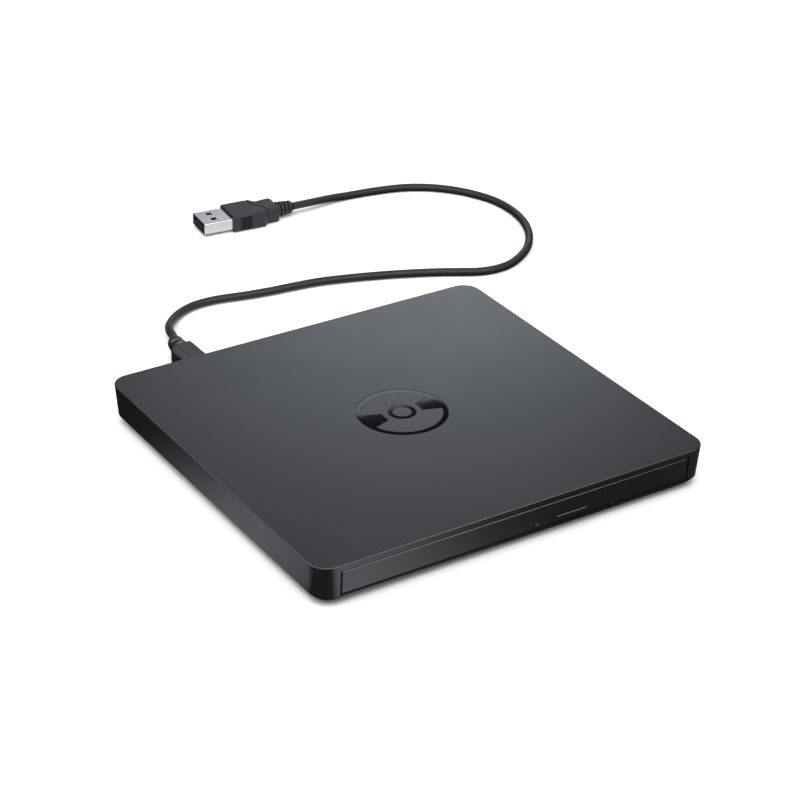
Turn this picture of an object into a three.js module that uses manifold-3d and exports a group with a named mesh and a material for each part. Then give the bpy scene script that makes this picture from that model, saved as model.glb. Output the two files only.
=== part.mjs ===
// External slim optical drive with its USB cable: a flat drawer drive in a plastic case.
// Millimetres, +Z up. X runs across the front and the drawer opens towards -Y.
// The origin is the centre of the case's footprint on the table.
import * as THREE from 'three';
import { mergeVertices } from 'three/addons/utils/BufferGeometryUtils.js';
import Module from 'manifold-3d';

const wasm = await Module();
wasm.setup();

// ---------------------------------------------------------------- driving dimensions
const WIDTH = 144;               // case, left to right
const DEPTH = 137.5;             // case, front to back
const HEIGHT = 14;               // case, table to top
const CORNER_R = 6.4;            // plan radius of the case's corners
const EDGE_BEVEL = 0.35;         // chamfer round the top face
const WALL = 1.6;                // side walls
const ROOF = 1.4;                // top panel
const WALL_FOOT_Z = 3;           // lower edge of the side walls
const DRAFT = 0.73;              // how far each wall leans in from the top to its lower edge
const PAN_Z = 1;                 // underside of the bottom cover
const PAN_FLOOR = 1.3;           // its thickness
const FOOT_X = 58;
const FOOT_Y = 55;
const SCREW_X = 66.8;
const SCREW_Y = 58;

const OPENING_HALF = 64.4;       // drawer opening in the front wall
const OPENING_TOP = 11.95;
const BEZEL_HALF = 64;           // drawer front
const BEZEL_LOW = 3.65;
const BEZEL_HIGH = 11.55;
const BUTTON_X = [13.2, 24.7];   // eject button, left and right end
const BUTTON_Z = [4.7, 6.2];
const LAMP = { x: 5.8, z: 5.4 };
const EJECT_HOLE = { x: 34.5, z: 4.7, r: 0.45 };

const DRIVE_HALF = 64;           // slim drive inside the case
const DRIVE_FRONT = -65;
const DRIVE_BACK = 61;
const TRAY_HALF = 58.2;
const TRAY_FRONT = -65.1;
const TRAY_BACK = 55;
const TRAY_LOW = 4.4;
const TRAY_HIGH = 10.4;
const TRAY_FLOOR = [7.7, 8.7];   // thin floor under the disc
const DISC_Y = -3.5;             // centre of the disc
const RECESS_R = 61;             // recess for a 120 mm disc
const TRAVERSE_TURN = -135;      // degrees, the way the pickup runs from the spindle
const ROD_OFFSET = 18;           // guide rods, either side of the pickup's path
const ROD_R = 0.8;
const ROD_Z = 6.2;
const SCREW_OFFSET = -22.2;      // lead screw beside the rods
const LENS_U = 24;               // lens at the start of the disc's recorded band

const LOCK = { x: 46, y: -55 };  // post on the chassis that the drawer's lock catches
const LEVER = { x: 42.5, y: -46 };

const PORT = { x: -33.95, z: 5.5 };   // USB socket in the rear wall
const PLUG_Y = [68.95, 88.6];         // moulding of the rear plug
const CORD_R = 1.5;
const CORD_STEPS = 56;
// Cable from the rear strain relief, along the table and back to the USB-A plug.
const CORD_ROUTE = [
  [-32.6, 97.0, 5.28], [-31.1, 101.1, 5.0], [-29.9, 105.6, 4.4], [-27.9, 110.4, 3.6],
  [-24.6, 115.2, 2.6], [-20.2, 119.7, 1.9], [-15.0, 123.0, 1.6], [-9.4, 124.7, 1.52],
  [-3.6, 124.8, 1.52], [1.0, 124.2, 1.52], [9.9, 122.2, 1.52], [19.1, 120.7, 1.52],
  [28.9, 119.7, 1.52], [38.3, 118.4, 1.52], [47.2, 116.0, 1.52], [55.9, 113.2, 1.52],
  [64.5, 110.0, 1.52], [72.8, 106.5, 1.52], [81.0, 102.6, 1.52], [88.2, 98.6, 1.52],
  [94.2, 95.4, 1.52], [100.0, 93.9, 1.52], [106.0, 94.2, 1.52], [111.8, 96.2, 1.52],
  [121.8, 103.0, 1.52], [130.6, 114.4, 1.52], [135.9, 128.6, 1.52], [136.2, 144.5, 1.52],
  [131.1, 157.6, 1.52], [122.6, 168.1, 1.52], [111.8, 174.9, 1.52], [98.6, 178.3, 1.52],
  [88.2, 179.6, 1.6], [79.5, 179.7, 2.2], [71.5, 178.6, 3.0], [61.9, 178.6, 3.3],
];
const HOST_MOUTH = [22.5, 182.5];     // USB-A plug: mouth and strain relief end on the table
const HOST_TAIL = [61.5, 178.64];
const HOST_Z = 3.3;                   // centre height of the plug
const HOST_SHELL = { w: 12, h: 4.5, l: 11.75, t: 0.35 };
const HOST_BODY = { w: 13.8, h: 6.6, wide: 13.6, neck: 9.6, l: 20.3 };

// ---------------------------------------------------------------- solids
function geometryOf(manifold) {
  const mesh = manifold.getMesh();
  const geometry = new THREE.BufferGeometry();
  geometry.setAttribute('position', new THREE.BufferAttribute(mesh.vertProperties, 3));
  geometry.setIndex(new THREE.BufferAttribute(mesh.triVerts, 1));
  return geometry;
}

function solid(geometry) {
  const bare = geometry.clone();
  bare.deleteAttribute('normal');
  bare.deleteAttribute('uv');
  const merged = mergeVertices(bare, 1e-4);
  return new wasm.Manifold(new wasm.Mesh({
    numProp: 3,
    vertProperties: new Float32Array(merged.attributes.position.array),
    triVerts: new Uint32Array(merged.index.array),
  }));
}

const cut = (base, ...tools) => tools.reduce((rest, tool) => rest.subtract(tool), base);
const join = (...pieces) => pieces.reduce((whole, piece) => whole.add(piece));

// Box given by its low and high corners.
function slab(x, y, z) {
  const geometry = new THREE.BoxGeometry(x[1] - x[0], y[1] - y[0], z[1] - z[0]);
  geometry.translate((x[0] + x[1]) / 2, (y[0] + y[1]) / 2, (z[0] + z[1]) / 2);
  return solid(geometry);
}

// Upright cylinder between two heights.
function post(x, y, r, z, sides = 24) {
  const geometry = new THREE.CylinderGeometry(r, r, z[1] - z[0], sides);
  geometry.rotateX(Math.PI / 2);
  geometry.translate(x, y, (z[0] + z[1]) / 2);
  return solid(geometry);
}

// Cylinder along Y at (x, z).
function barrelY(x, z, r, y, sides = 20) {
  const geometry = new THREE.CylinderGeometry(r, r, y[1] - y[0], sides);
  geometry.translate(x, (y[0] + y[1]) / 2, z);
  return solid(geometry);
}

// Cylinder along X at (y, z).
function barrelX(y, z, r, x, sides = 16) {
  const geometry = new THREE.CylinderGeometry(r, r, x[1] - x[0], sides);
  geometry.rotateZ(-Math.PI / 2);
  geometry.translate((x[0] + x[1]) / 2, y, z);
  return solid(geometry);
}

function roundedRect(halfX, halfY, r, cx = 0, cy = 0) {
  const shape = new THREE.Shape();
  shape.moveTo(cx - halfX + r, cy - halfY);
  shape.lineTo(cx + halfX - r, cy - halfY);
  shape.absarc(cx + halfX - r, cy - halfY + r, r, -Math.PI / 2, 0);
  shape.lineTo(cx + halfX, cy + halfY - r);
  shape.absarc(cx + halfX - r, cy + halfY - r, r, 0, Math.PI / 2);
  shape.lineTo(cx - halfX + r, cy + halfY);
  shape.absarc(cx - halfX + r, cy + halfY - r, r, Math.PI / 2, Math.PI);
  shape.lineTo(cx - halfX, cy - halfY + r);
  shape.absarc(cx - halfX + r, cy - halfY + r, r, Math.PI, Math.PI * 1.5);
  return shape;
}

function polygon(points) {
  return new THREE.Shape(points.map(([x, y]) => new THREE.Vector2(x, y)));
}

// Prism of a flat outline between two heights, with an optional bevel taken off both ends.
function prismGeometry(shape, z, bevel = 0, curveSegments = 8) {
  const geometry = new THREE.ExtrudeGeometry(shape, {
    depth: z[1] - z[0] - 2 * bevel,
    bevelEnabled: bevel > 0,
    bevelThickness: bevel,
    bevelSize: bevel,
    bevelOffset: -bevel,
    bevelSegments: 1,
    curveSegments,
  });
  geometry.translate(0, 0, z[0] + bevel);
  return geometry;
}

const prism = (shape, z, bevel = 0, segments = 8) => solid(prismGeometry(shape, z, bevel, segments));

// Prism along Y: the outline is drawn in X and Z.
function prismY(shape, y, bevel = 0, curveSegments = 3) {
  const geometry = prismGeometry(shape, [0, y[1] - y[0]], bevel, curveSegments);
  geometry.rotateX(Math.PI / 2);
  geometry.translate(0, y[1], 0);
  return geometry;
}

// Turned piece about Z from [radius, z] points: they start and end on the axis, or are closed into a ring.
function turned(profile, sides = 32) {
  const onAxis = profile[0][0] === 0;
  const points = (onAxis ? profile : [...profile, profile[0]]).map(([r, z]) => new THREE.Vector2(r, z));
  const geometry = new THREE.LatheGeometry(points, sides);
  geometry.rotateX(Math.PI / 2);
  return geometry;
}

// Leans the walls in towards their lower edge: full size at the top, DRAFT less at WALL_FOOT_Z.
function leanWalls(geometry) {
  const place = geometry.attributes.position;
  for (let i = 0; i < place.count; i += 1) {
    const lean = DRAFT * (HEIGHT - place.getZ(i)) / (HEIGHT - WALL_FOOT_Z);
    place.setX(i, place.getX(i) * (1 - lean / (WIDTH / 2)));
    place.setY(i, place.getY(i) * (1 - lean / (DEPTH / 2)));
  }
  return geometry;
}

// ---------------------------------------------------------------- finishes
const FINISH = {
  case_black: { color: 0x2b2c2f, roughness: 0.45, metalness: 0 },
  bezel_black: { color: 0x1d1d1f, roughness: 0.3, metalness: 0 },
  gloss_black: { color: 0x0c0c0d, roughness: 0.12, metalness: 0 },
  inner_black: { color: 0x18181a, roughness: 0.6, metalness: 0 },
  rubber: { color: 0x17171a, roughness: 0.85, metalness: 0 },
  cord_black: { color: 0x242528, roughness: 0.5, metalness: 0 },
  plug_grey: { color: 0x2f3136, roughness: 0.6, metalness: 0 },
  steel: { color: 0xb9bcc0, roughness: 0.35, metalness: 1 },
  zinc: { color: 0xd6d7d8, roughness: 0.25, metalness: 1 },
  alloy: { color: 0xa9abad, roughness: 0.4, metalness: 1 },
  circuit_green: { color: 0x12482c, roughness: 0.5, metalness: 0 },
  chip_black: { color: 0x101012, roughness: 0.5, metalness: 0 },
  white_plastic: { color: 0xdedcd4, roughness: 0.5, metalness: 0 },
  flex_amber: { color: 0xa8641e, roughness: 0.4, metalness: 0 },
  lens_blue: { color: 0x9fb6d8, roughness: 0.05, metalness: 0 },
};

const drive = new THREE.Group();

function node(name, shape, finish, parent = drive) {
  const geometry = shape.getMesh ? geometryOf(shape) : shape;
  const mesh = new THREE.Mesh(geometry, new THREE.MeshStandardMaterial(FINISH[finish]));
  mesh.name = name;
  parent.add(mesh);
  return mesh;
}

// ---------------------------------------------------------------- case
const EMBLEM = {
  depth: 0.35,
  gap: 0.1,
  ring: [13.4, 15.1],            // the disc's rim
  hub: [3.2, 4.6],               // its centre hole
  glint: [6.8, 14.0],            // two wedge-shaped reflections, running out to the rim
  glintTurns: [0, 180],
  glintSpan: 38,
};

function ringShape(inner, outer) {
  const shape = new THREE.Shape();
  shape.absarc(0, 0, outer, 0, Math.PI * 2);
  const hole = new THREE.Path();
  hole.absarc(0, 0, inner, 0, Math.PI * 2, true);
  shape.holes.push(hole);
  return shape;
}

function glintShape(turn, grow) {
  const middle = THREE.MathUtils.degToRad(turn);
  const [inner, outer] = [EMBLEM.glint[0] - grow, EMBLEM.glint[1] + grow];
  const half = THREE.MathUtils.degToRad(EMBLEM.glintSpan / 2) + grow / 9;
  const shape = new THREE.Shape();
  shape.absarc(0, 0, outer, middle - half, middle + half);
  shape.absarc(0, 0, inner, middle + half, middle - half, true);
  return shape;
}

function topCover() {
  const outer = solid(leanWalls(
    prismGeometry(roundedRect(WIDTH / 2, DEPTH / 2, CORNER_R), [1, HEIGHT], EDGE_BEVEL, 7)));
  const hollow = roundedRect(WIDTH / 2 - WALL, DEPTH / 2 - WALL, CORNER_R - WALL);
  const inner = solid(leanWalls(prismGeometry(hollow, [0, HEIGHT - ROOF], 0, 6)));
  const belowWalls = slab([-WIDTH, WIDTH], [-DEPTH, DEPTH], [-1, WALL_FOOT_Z]);
  const drawerOpening = slab([-OPENING_HALF, OPENING_HALF], [-DEPTH, -DEPTH / 2 + 4], [0, OPENING_TOP]);
  const port = prismY(roundedRect(4.1, 1.5, 0.7, PORT.x, PORT.z), [DEPTH / 2 - 4, DEPTH / 2 + 2]);
  let cover = cut(outer, inner, belowWalls, drawerOpening, solid(port));
  for (const sx of [-1, 1]) {
    for (const sy of [-1, 1]) {
      const boss = post(sx * SCREW_X, sy * SCREW_Y, 2.3, [2.6, HEIGHT - ROOF + 0.4], 16);
      cover = join(cover, boss);
      cover = cut(cover, post(sx * SCREW_X, sy * SCREW_Y, 1.2, [2, 8.4], 12));
    }
  }
  const recess = [HEIGHT - EMBLEM.depth, HEIGHT + 1];
  const g = EMBLEM.gap;
  cover = cut(cover,
    prism(ringShape(EMBLEM.ring[0] - g, EMBLEM.ring[1] + g), recess, 0, 22),
    prism(ringShape(EMBLEM.hub[0] - g, EMBLEM.hub[1] + g), recess, 0, 12),
    ...EMBLEM.glintTurns.map((turn) => prism(glintShape(turn, g), recess, 0, 6)));
  return cover;
}

function emblem() {
  const z = [HEIGHT - EMBLEM.depth, HEIGHT - 0.12];
  const glints = EMBLEM.glintTurns.map((turn) => prism(glintShape(turn, 0), z, 0, 6));
  node('emblem_ring', join(prism(ringShape(...EMBLEM.ring), z, 0, 22), ...glints), 'gloss_black');
  node('emblem_hub', prism(ringShape(...EMBLEM.hub), z, 0, 12), 'gloss_black');
}

function bottomCover() {
  // The pan's side slopes in from the walls' lower edge to the underside.
  const top = { x: WIDTH / 2 - DRAFT - 0.1, y: DEPTH / 2 - DRAFT - 0.1 };
  const slope = 1.7;
  const panGeometry = prismGeometry(roundedRect(top.x, top.y, CORNER_R), [PAN_Z, WALL_FOOT_Z], 0, 7);
  const place = panGeometry.attributes.position;
  for (let i = 0; i < place.count; i += 1) {
    if (place.getZ(i) < PAN_Z + 0.1) {
      place.setX(i, place.getX(i) * (1 - slope / top.x));
      place.setY(i, place.getY(i) * (1 - slope / top.y));
    }
  }
  const innerX = WIDTH / 2 - DRAFT - WALL;
  const innerY = DEPTH / 2 - DRAFT - WALL;
  const rim = cut(
    prism(roundedRect(innerX - 0.2, innerY - 0.2, 4.4), [2, 4.8], 0, 5),
    prism(roundedRect(innerX - 1.4, innerY - 1.4, 3.4), [1.5, 6], 0, 5),
    slab([-65, 65], [-DEPTH, -60], [2, 6]),
    slab([PORT.x - 6, PORT.x + 6], [60, DEPTH], [3, 6]));
  const cavity = slab([-66, 66], [-65.4, 64], [PAN_Z + PAN_FLOOR, 6]);
  const frontStrip = slab([-64.1, 64.1], [-67.7, -66.2], [2.5, 3.3]);
  let pan = join(cut(solid(panGeometry), cavity), cut(rim, cavity), frontStrip);
  for (const sx of [-1, 1]) {
    for (const sy of [-1, 1]) {
      const [x, y] = [sx * SCREW_X, sy * SCREW_Y];
      pan = cut(pan,
        post(x, y, 2.6, [2.4, 6], 16),
        post(x, y, 1.25, [0, 6], 12),
        post(x, y, 2.1, [0, 1.7], 16),
        post(sx * FOOT_X, sy * FOOT_Y, 4.8, [0, 1.4], 24));
    }
  }
  return pan;
}

function footShape(x, y) {
  const foot = turned([[0, 0], [3.9, 0], [4.5, 0.5], [4.5, 1.35], [0, 1.35]], 20);
  foot.translate(x, y, 0);
  return foot;
}

function caseScrew(x, y) {
  const screw = join(post(x, y, 1.9, [1.15, 1.65], 16), post(x, y, 1.0, [1.6, 7.6], 12));
  return cut(screw, slab([x - 1.2, x + 1.2], [y - 0.25, y + 0.25], [1, 1.4]),
    slab([x - 0.25, x + 0.25], [y - 1.2, y + 1.2], [1, 1.4]));
}

function caseHardware() {
  const corners = { front_left: [-1, -1], front_right: [1, -1], rear_left: [-1, 1], rear_right: [1, 1] };
  for (const [name, [sx, sy]] of Object.entries(corners)) {
    node(`foot_${name}`, footShape(sx * FOOT_X, sy * FOOT_Y), 'rubber');
    node(`case_screw_${name}`, caseScrew(sx * SCREW_X, sy * SCREW_Y), 'steel');
  }
}

// ---------------------------------------------------------------- rear electronics
const BOARD_Y = [61.8, 62.8];    // bridge board, standing behind the drive
const SOCKET_Y = [63.0, 66.2];   // USB socket on it, opening towards the rear wall

function rearElectronics() {
  node('bridge_board', slab([-46, 14], BOARD_Y, [2.7, 11]), 'circuit_green');
  node('bridge_chip', slab([-20, -12], [62.9, 63.8], [3.6, 9.6]), 'chip_black');
  const shell = cut(
    solid(prismY(roundedRect(4.0, 1.75, 0.5, PORT.x, PORT.z), SOCKET_Y)),
    solid(prismY(roundedRect(3.65, 1.2, 0.3, PORT.x, PORT.z), [SOCKET_Y[0] + 0.4, SOCKET_Y[1] + 1])));
  node('usb_socket_shell', shell, 'steel');
  node('usb_socket_tongue', slab([PORT.x - 2, PORT.x + 2], [SOCKET_Y[0] + 0.45, SOCKET_Y[1] - 0.5],
    [PORT.z - 0.2, PORT.z + 0.2]), 'inner_black');
  node('sata_connector', cut(slab([-14, 6], [60.35, 61.7], [6.2, 10.6]),
    slab([-13, 5], [60, 61.2], [7.9, 8.9])), 'inner_black');
}

// ---------------------------------------------------------------- slim drive: chassis and rails
function driveBase() {
  const x = DRIVE_HALF - 0.8;
  const back = DRIVE_BACK - 0.8;
  const base = cut(slab([-x, x], [DRIVE_FRONT, back], [2.5, 11]),
    slab([-x + 0.8, x - 0.8], [DRIVE_FRONT - 1, back - 0.6], [3.1, 12]),
    slab([-16, 8], [back - 1, back + 1], [5.8, 12]));
  const pressed = [[-30, 20], [30, 20], [-30, -35], [30, -35]];
  return cut(base, ...pressed.map(([px, py]) => prism(roundedRect(14, 10, 3, px, py), [2, 2.7], 0, 3)));
}

function driveLid() {
  const x = DRIVE_HALF;
  const lid = cut(slab([-x, x], [DRIVE_FRONT, DRIVE_BACK], [8, 11.8]),
    slab([-x + 0.5, x - 0.5], [DRIVE_FRONT - 1, DRIVE_BACK - 0.5], [7, 11.2]),
    slab([-16, 8], [DRIVE_BACK - 1, DRIVE_BACK + 1], [7, 10.9]),
    prism(roundedRect(52, 50, 8, 0, -2), [11.55, 12], 0, 4));
  return lid;
}

const FIXED_RAIL = { y: [-63, 58], back: [61.5, 62.1], low: 4.7, high: 8.9, lip: 59.1, t: 0.6 };
const SLIDE_RAIL = { y: [-63, 56], back: [60.6, 61.2], low: 5.6, high: 8.0, lip: 58.7, t: 0.6 };

// C-shaped rail opening towards the middle, drawn in X and Z.
function railShape(rail, side) {
  const { back, low, high, lip, t } = rail;
  const outline = [[back[1], low], [back[1], high], [lip, high], [lip, high - t], [back[0], high - t],
    [back[0], low + t], [lip, low + t], [lip, low]];
  return prismY(polygon(outline.map(([x, z]) => [side * x, z])), rail.y);
}

function rails() {
  for (const [name, side] of [['left', -1], ['right', 1]]) {
    node(`rail_channel_${name}`, railShape(FIXED_RAIL, side), 'steel');
    node(`slide_rail_${name}`, railShape(SLIDE_RAIL, side), 'white_plastic');
  }
}

function chassisParts() {
  node('drive_base', driveBase(), 'steel');
  node('drive_lid', driveLid(), 'steel');
  const board = cut(slab([22, 57], [57.0, 58.6], [3.4, 9.0]), slab([50, 58], [56, 59], [7.2, 10]));
  node('drive_board', board, 'circuit_green');
  const pusher = join(slab([-50, -38], [56.6, 59.2], [4.4, 8.2]), barrelY(-44, 6.3, 0.9, [55.4, 57], 12));
  node('eject_pusher', pusher, 'white_plastic');
  const lockFlange = post(LOCK.x, LOCK.y, 1.6, [3.1, 3.5], 16);
  node('lock_post', join(post(LOCK.x, LOCK.y, 1.2, [3.1, 6.9], 16), lockFlange), 'steel');
  const ribbon = new THREE.Shape();
  ribbon.moveTo(-14, 3.2);
  ribbon.lineTo(18, 3.2);
  ribbon.lineTo(18, 3.4);
  ribbon.lineTo(-14, 3.4);
  node('flex_cable', prismY(ribbon, [8, 54]), 'flex_amber');
}

// ---------------------------------------------------------------- drawer
const traverse = new THREE.Group();
traverse.position.set(0, DISC_Y, 0);
traverse.rotation.z = THREE.MathUtils.degToRad(TRAVERSE_TURN);
drive.add(traverse);

// Carries a solid drawn about the spindle, with the pickup's path along +X, to its place in the drawer.
function turnedToPath(manifold) {
  const geometry = geometryOf(manifold);
  geometry.rotateZ(THREE.MathUtils.degToRad(TRAVERSE_TURN));
  geometry.translate(0, DISC_Y, 0);
  return solid(geometry);
}

const MOUNTS = [[-12, 16], [-12, -16], [48, 22.6]];   // rubber mounts, along and across the pickup's path

function discTray() {
  const outline = roundedRect(TRAY_HALF, (TRAY_BACK - TRAY_FRONT) / 2, 2, 0, (TRAY_BACK + TRAY_FRONT) / 2);
  const block = prism(outline, [TRAY_LOW, TRAY_HIGH], 0, 3);
  const recess = post(0, DISC_Y, RECESS_R, [TRAY_FLOOR[1], TRAY_HIGH + 1], 64);
  const underside = slab([-54, 54], [-58, 52], [TRAY_LOW - 1, TRAY_FLOOR[0]]);
  const spindleHole = post(0, DISC_Y, 15.6, [TRAY_LOW, TRAY_HIGH], 32);
  const path = turnedToPath(prism(roundedRect(24, 11, 8, 38, 0), [TRAY_LOW, TRAY_HIGH], 0, 4));
  const buttonPocket = slab([12, 26], [TRAY_FRONT - 1, -57], [TRAY_LOW - 1, 6.8]);
  const lampPocket = barrelY(LAMP.x, LAMP.z, 1.0, [TRAY_FRONT - 1, -57]);
  const pinPath = barrelY(EJECT_HOLE.x, EJECT_HOLE.z + 0.4, 1.0, [TRAY_FRONT - 1, -57], 12);
  const finger = slab([-20, 20], [40, 56], [TRAY_FLOOR[0] - 1, TRAY_HIGH + 1]);
  const lockPath = slab([LOCK.x - 2.1, LOCK.x + 2.1], [51, 56], [TRAY_LOW - 1, 7.3]);
  const passages = [spindleHole, path, buttonPocket, lampPocket, pinPath, finger, lockPath];
  let tray = cut(block, recess, underside, ...passages);
  for (const span of [[-60.3, -TRAY_HALF + 0.5], [TRAY_HALF - 0.5, 60.3]]) {
    tray = join(tray, slab(span, [-64, 54], [6.5, 7.1]));
  }
  const posts = MOUNTS.map(([u, v]) => turnedToPath(post(u, v, 1.0, [4.5, TRAY_FLOOR[0] + 0.3], 12)));
  return join(tray, ...posts);
}

function trayBezel() {
  const half = (BEZEL_HIGH - BEZEL_LOW) / 2;
  const outline = roundedRect(BEZEL_HALF, half, 0.4, 0, (BEZEL_HIGH + BEZEL_LOW) / 2);
  const front = -DEPTH / 2 + 0.05;
  const geometry = prismY(outline, [front, TRAY_FRONT - 0.2], 0.35, 2);
  const place = geometry.attributes.position;
  for (let i = 0; i < place.count; i += 1) {
    if (place.getY(i) < -DEPTH / 2 + 1.5) {
      place.setY(i, place.getY(i) + DRAFT * (HEIGHT - place.getZ(i)) / (HEIGHT - WALL_FOOT_Z));
    }
  }
  return cut(solid(geometry),
    slab([BUTTON_X[0] - 0.2, BUTTON_X[1] + 0.2], [-DEPTH, -60], [BUTTON_Z[0] - 0.2, BUTTON_Z[1] + 0.2]),
    barrelY(LAMP.x, LAMP.z, 0.75, [-DEPTH, -60]),
    barrelY(EJECT_HOLE.x, EJECT_HOLE.z, EJECT_HOLE.r, [-DEPTH, -60], 12));
}

function ejectButton() {
  const [halfWidth, halfHeight] = [BUTTON_X, BUTTON_Z].map(([low, high]) => (high - low) / 2);
  const [x, z] = [BUTTON_X, BUTTON_Z].map(([low, high]) => (high + low) / 2);
  const cap = solid(prismY(roundedRect(halfWidth, halfHeight, 0.35, x, z), [-68.55, -64.6], 0.2, 3));
  const stem = slab([17.5, 20.5], [-65, -62.4], [BUTTON_Z[0] + 0.2, BUTTON_Z[1] - 0.2]);
  return join(cap, stem);
}

function drawer() {
  node('disc_tray', discTray(), 'inner_black');
  node('tray_bezel', trayBezel(), 'bezel_black');
  node('tray_under_cover', slab([-55.5, 40.5], [-56, 54.5], [3.7, 4.1]), 'alloy');
  node('eject_button', ejectButton(), 'bezel_black');
  const lampFoot = slab([LAMP.x - 0.6, LAMP.x + 0.6], [-60.3, -57.2], [5.0, 6.2]);
  node('lamp_lens', join(barrelY(LAMP.x, LAMP.z, 0.6, [-68.3, -60], 16), lampFoot), 'white_plastic');
  const plunger = slab([18, 20], [-61.7, -61.3], [5.1, 5.7]);
  node('button_switch', join(slab([15.5, 22.5], [-61.4, -58.4], [4.6, 6.6]), plunger), 'inner_black');
  const solenoid = join(slab([27, 39], [-57.2, -50], [4.3, 7.4]), barrelX(-53.6, 5.9, 0.8, [38.5, 41], 12));
  node('eject_solenoid', solenoid, 'steel');
  // The lever is drawn let go of the post; it swings behind the post to lock.
  const { x, y } = LEVER;
  node('lock_lever', join(
    cut(post(x, y, 2.4, [5.9, 7.2], 20), post(x, y, 1.0, [5, 8], 16)),
    slab([x - 0.8, x + 0.8], [y - 8, y - 1.6], [5.9, 7.2]),
    slab([x - 0.8, x + 1.9], [y - 7.2, y - 6.2], [5.9, 7.2])), 'white_plastic');
  node('lock_pivot', join(post(x, y, 0.8, [4.2, 7.6], 16), post(x, y, 1.6, [4.2, 5.6], 16)), 'steel');
}

// ---------------------------------------------------------------- traverse: spindle, pickup and feed screw
const FRAME_PLATE = [[-16, -27], [49, -27], [58, -18], [58, 18], [50.5, 25.5], [-16, 25.5]];
const ROD_BLOCKS = [[5.5, 8], [54.2, 56.4]];

function traverseFrame() {
  let frame = cut(prism(polygon(FRAME_PLATE), [4.3, 4.9]),
    post(0, 0, 6, [4, 6], 24),
    slab([11, 54], [-16, 16], [4, 6]),
    slab([-7, 48.5], [-25.6, -19.9], [4, 6]));
  frame = cut(frame, ...MOUNTS.map(([u, v]) => post(u, v, 1.4, [4, 6], 12)));
  for (const v of [-ROD_OFFSET, ROD_OFFSET]) {
    for (const [u0, u1] of ROD_BLOCKS) {
      const block = slab([u0, u1], [v - 1.7, v + 1.7], [4.8, 7.4]);
      frame = join(frame, cut(block, barrelX(v, ROD_Z, ROD_R + 0.1, [u0 - 1, u1 + 1])));
    }
  }
  const bearing = cut(slab([48.6, 50.4], [SCREW_OFFSET - 1.6, SCREW_OFFSET + 1.6], [4.8, 7.4]),
    barrelX(SCREW_OFFSET, ROD_Z, 0.8, [48, 51]));
  return join(frame, bearing);
}

function turntable() {
  return turned([
    [0, 5.6], [1.2, 5.6], [1.2, 7.3], [13.2, 7.3], [14.2, 7.6], [14.2, 9.1], [12.6, 9.1], [12.2, 8.8],
    [8.2, 8.8], [7.3, 9.0], [7.3, 10.2], [6.6, 10.7], [2.2, 10.7], [1.8, 10.4], [0, 10.4],
  ], 30);
}

const JAWS = 3;
const JAW = { inner: 4.9, outer: 7.75, half: 1.3, low: 9.3, high: 10.3 };

function spindle() {
  const slots = [];
  for (let i = 0; i < JAWS; i += 1) {
    const slot = new THREE.BoxGeometry(5, 2 * JAW.half + 0.6, 4);
    slot.translate(6.6, 0, JAW.low + 1.65);
    slot.rotateZ(i * 2 * Math.PI / JAWS);
    slots.push(solid(slot));
  }
  node('turntable', cut(solid(turntable()), ...slots), 'inner_black', traverse);
  for (let i = 0; i < JAWS; i += 1) {
    const foot = JAW.low + 0.05;
    const profile = [[JAW.inner, foot], [7.5, foot], [JAW.outer, 9.7], [7.3, 10.2], [JAW.inner, JAW.high]];
    const jaw = prismY(polygon(profile), [-JAW.half, JAW.half]);
    jaw.rotateZ(i * 2 * Math.PI / JAWS);
    node(`chuck_jaw_${i + 1}`, jaw, 'white_plastic', traverse);
  }
  const motor = [[1.5, 5.2], [10.5, 5.2], [10.5, 6.2], [8.6, 6.9], [3, 6.9], [3, 7.1], [1.5, 7.1]];
  node('spindle_motor', turned(motor, 24), 'alloy', traverse);
}

function pickupSled() {
  const body = prism(polygon([[11.2, -12], [12.4, -15.2], [27, -15.2], [29.4, -11], [29.4, 11], [27, 15.2],
    [12.4, 15.2], [11.2, 12]]), [5.05, 6.9]);
  const pocket = slab([18.6, 29.0], [-6.4, 6.4], [5.9, 8]);
  let sled = cut(body, pocket);
  for (const v of [-ROD_OFFSET, ROD_OFFSET]) {
    const wing = slab([12.6, 22.6], [Math.min(v, v * 0.8), Math.max(v, v * 0.8)], [5, 6.8]);
    const sleeve = slab([12.6, 22.6], [v - 1.3, v + 1.3], [4.98, 7.42]);
    const bore = barrelX(v, ROD_Z, ROD_R + 0.1, [10, 30]);
    sled = cut(join(sled, wing, sleeve), bore);
  }
  return join(sled, slab([12.8, 16.8], [-20.9, -19], [5.2, 6.6]));
}

function lensHolder() {
  const plate = prism(roundedRect(4.6, 5.6, 1, LENS_U, 0), [6.9, 7.9], 0, 3);
  return cut(plate, post(LENS_U, 0, 2.5, [6, 9], 20), slab([18.6, 20.4], [-3.4, 3.4], [6, 9]));
}

function lensShape() {
  const lens = turned([[0, 7.05], [2.3, 7.05], [2.3, 7.75], [1.9, 8.0], [1.2, 8.2], [0, 8.3]], 20);
  lens.translate(LENS_U, 0, 0);
  return lens;
}

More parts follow.
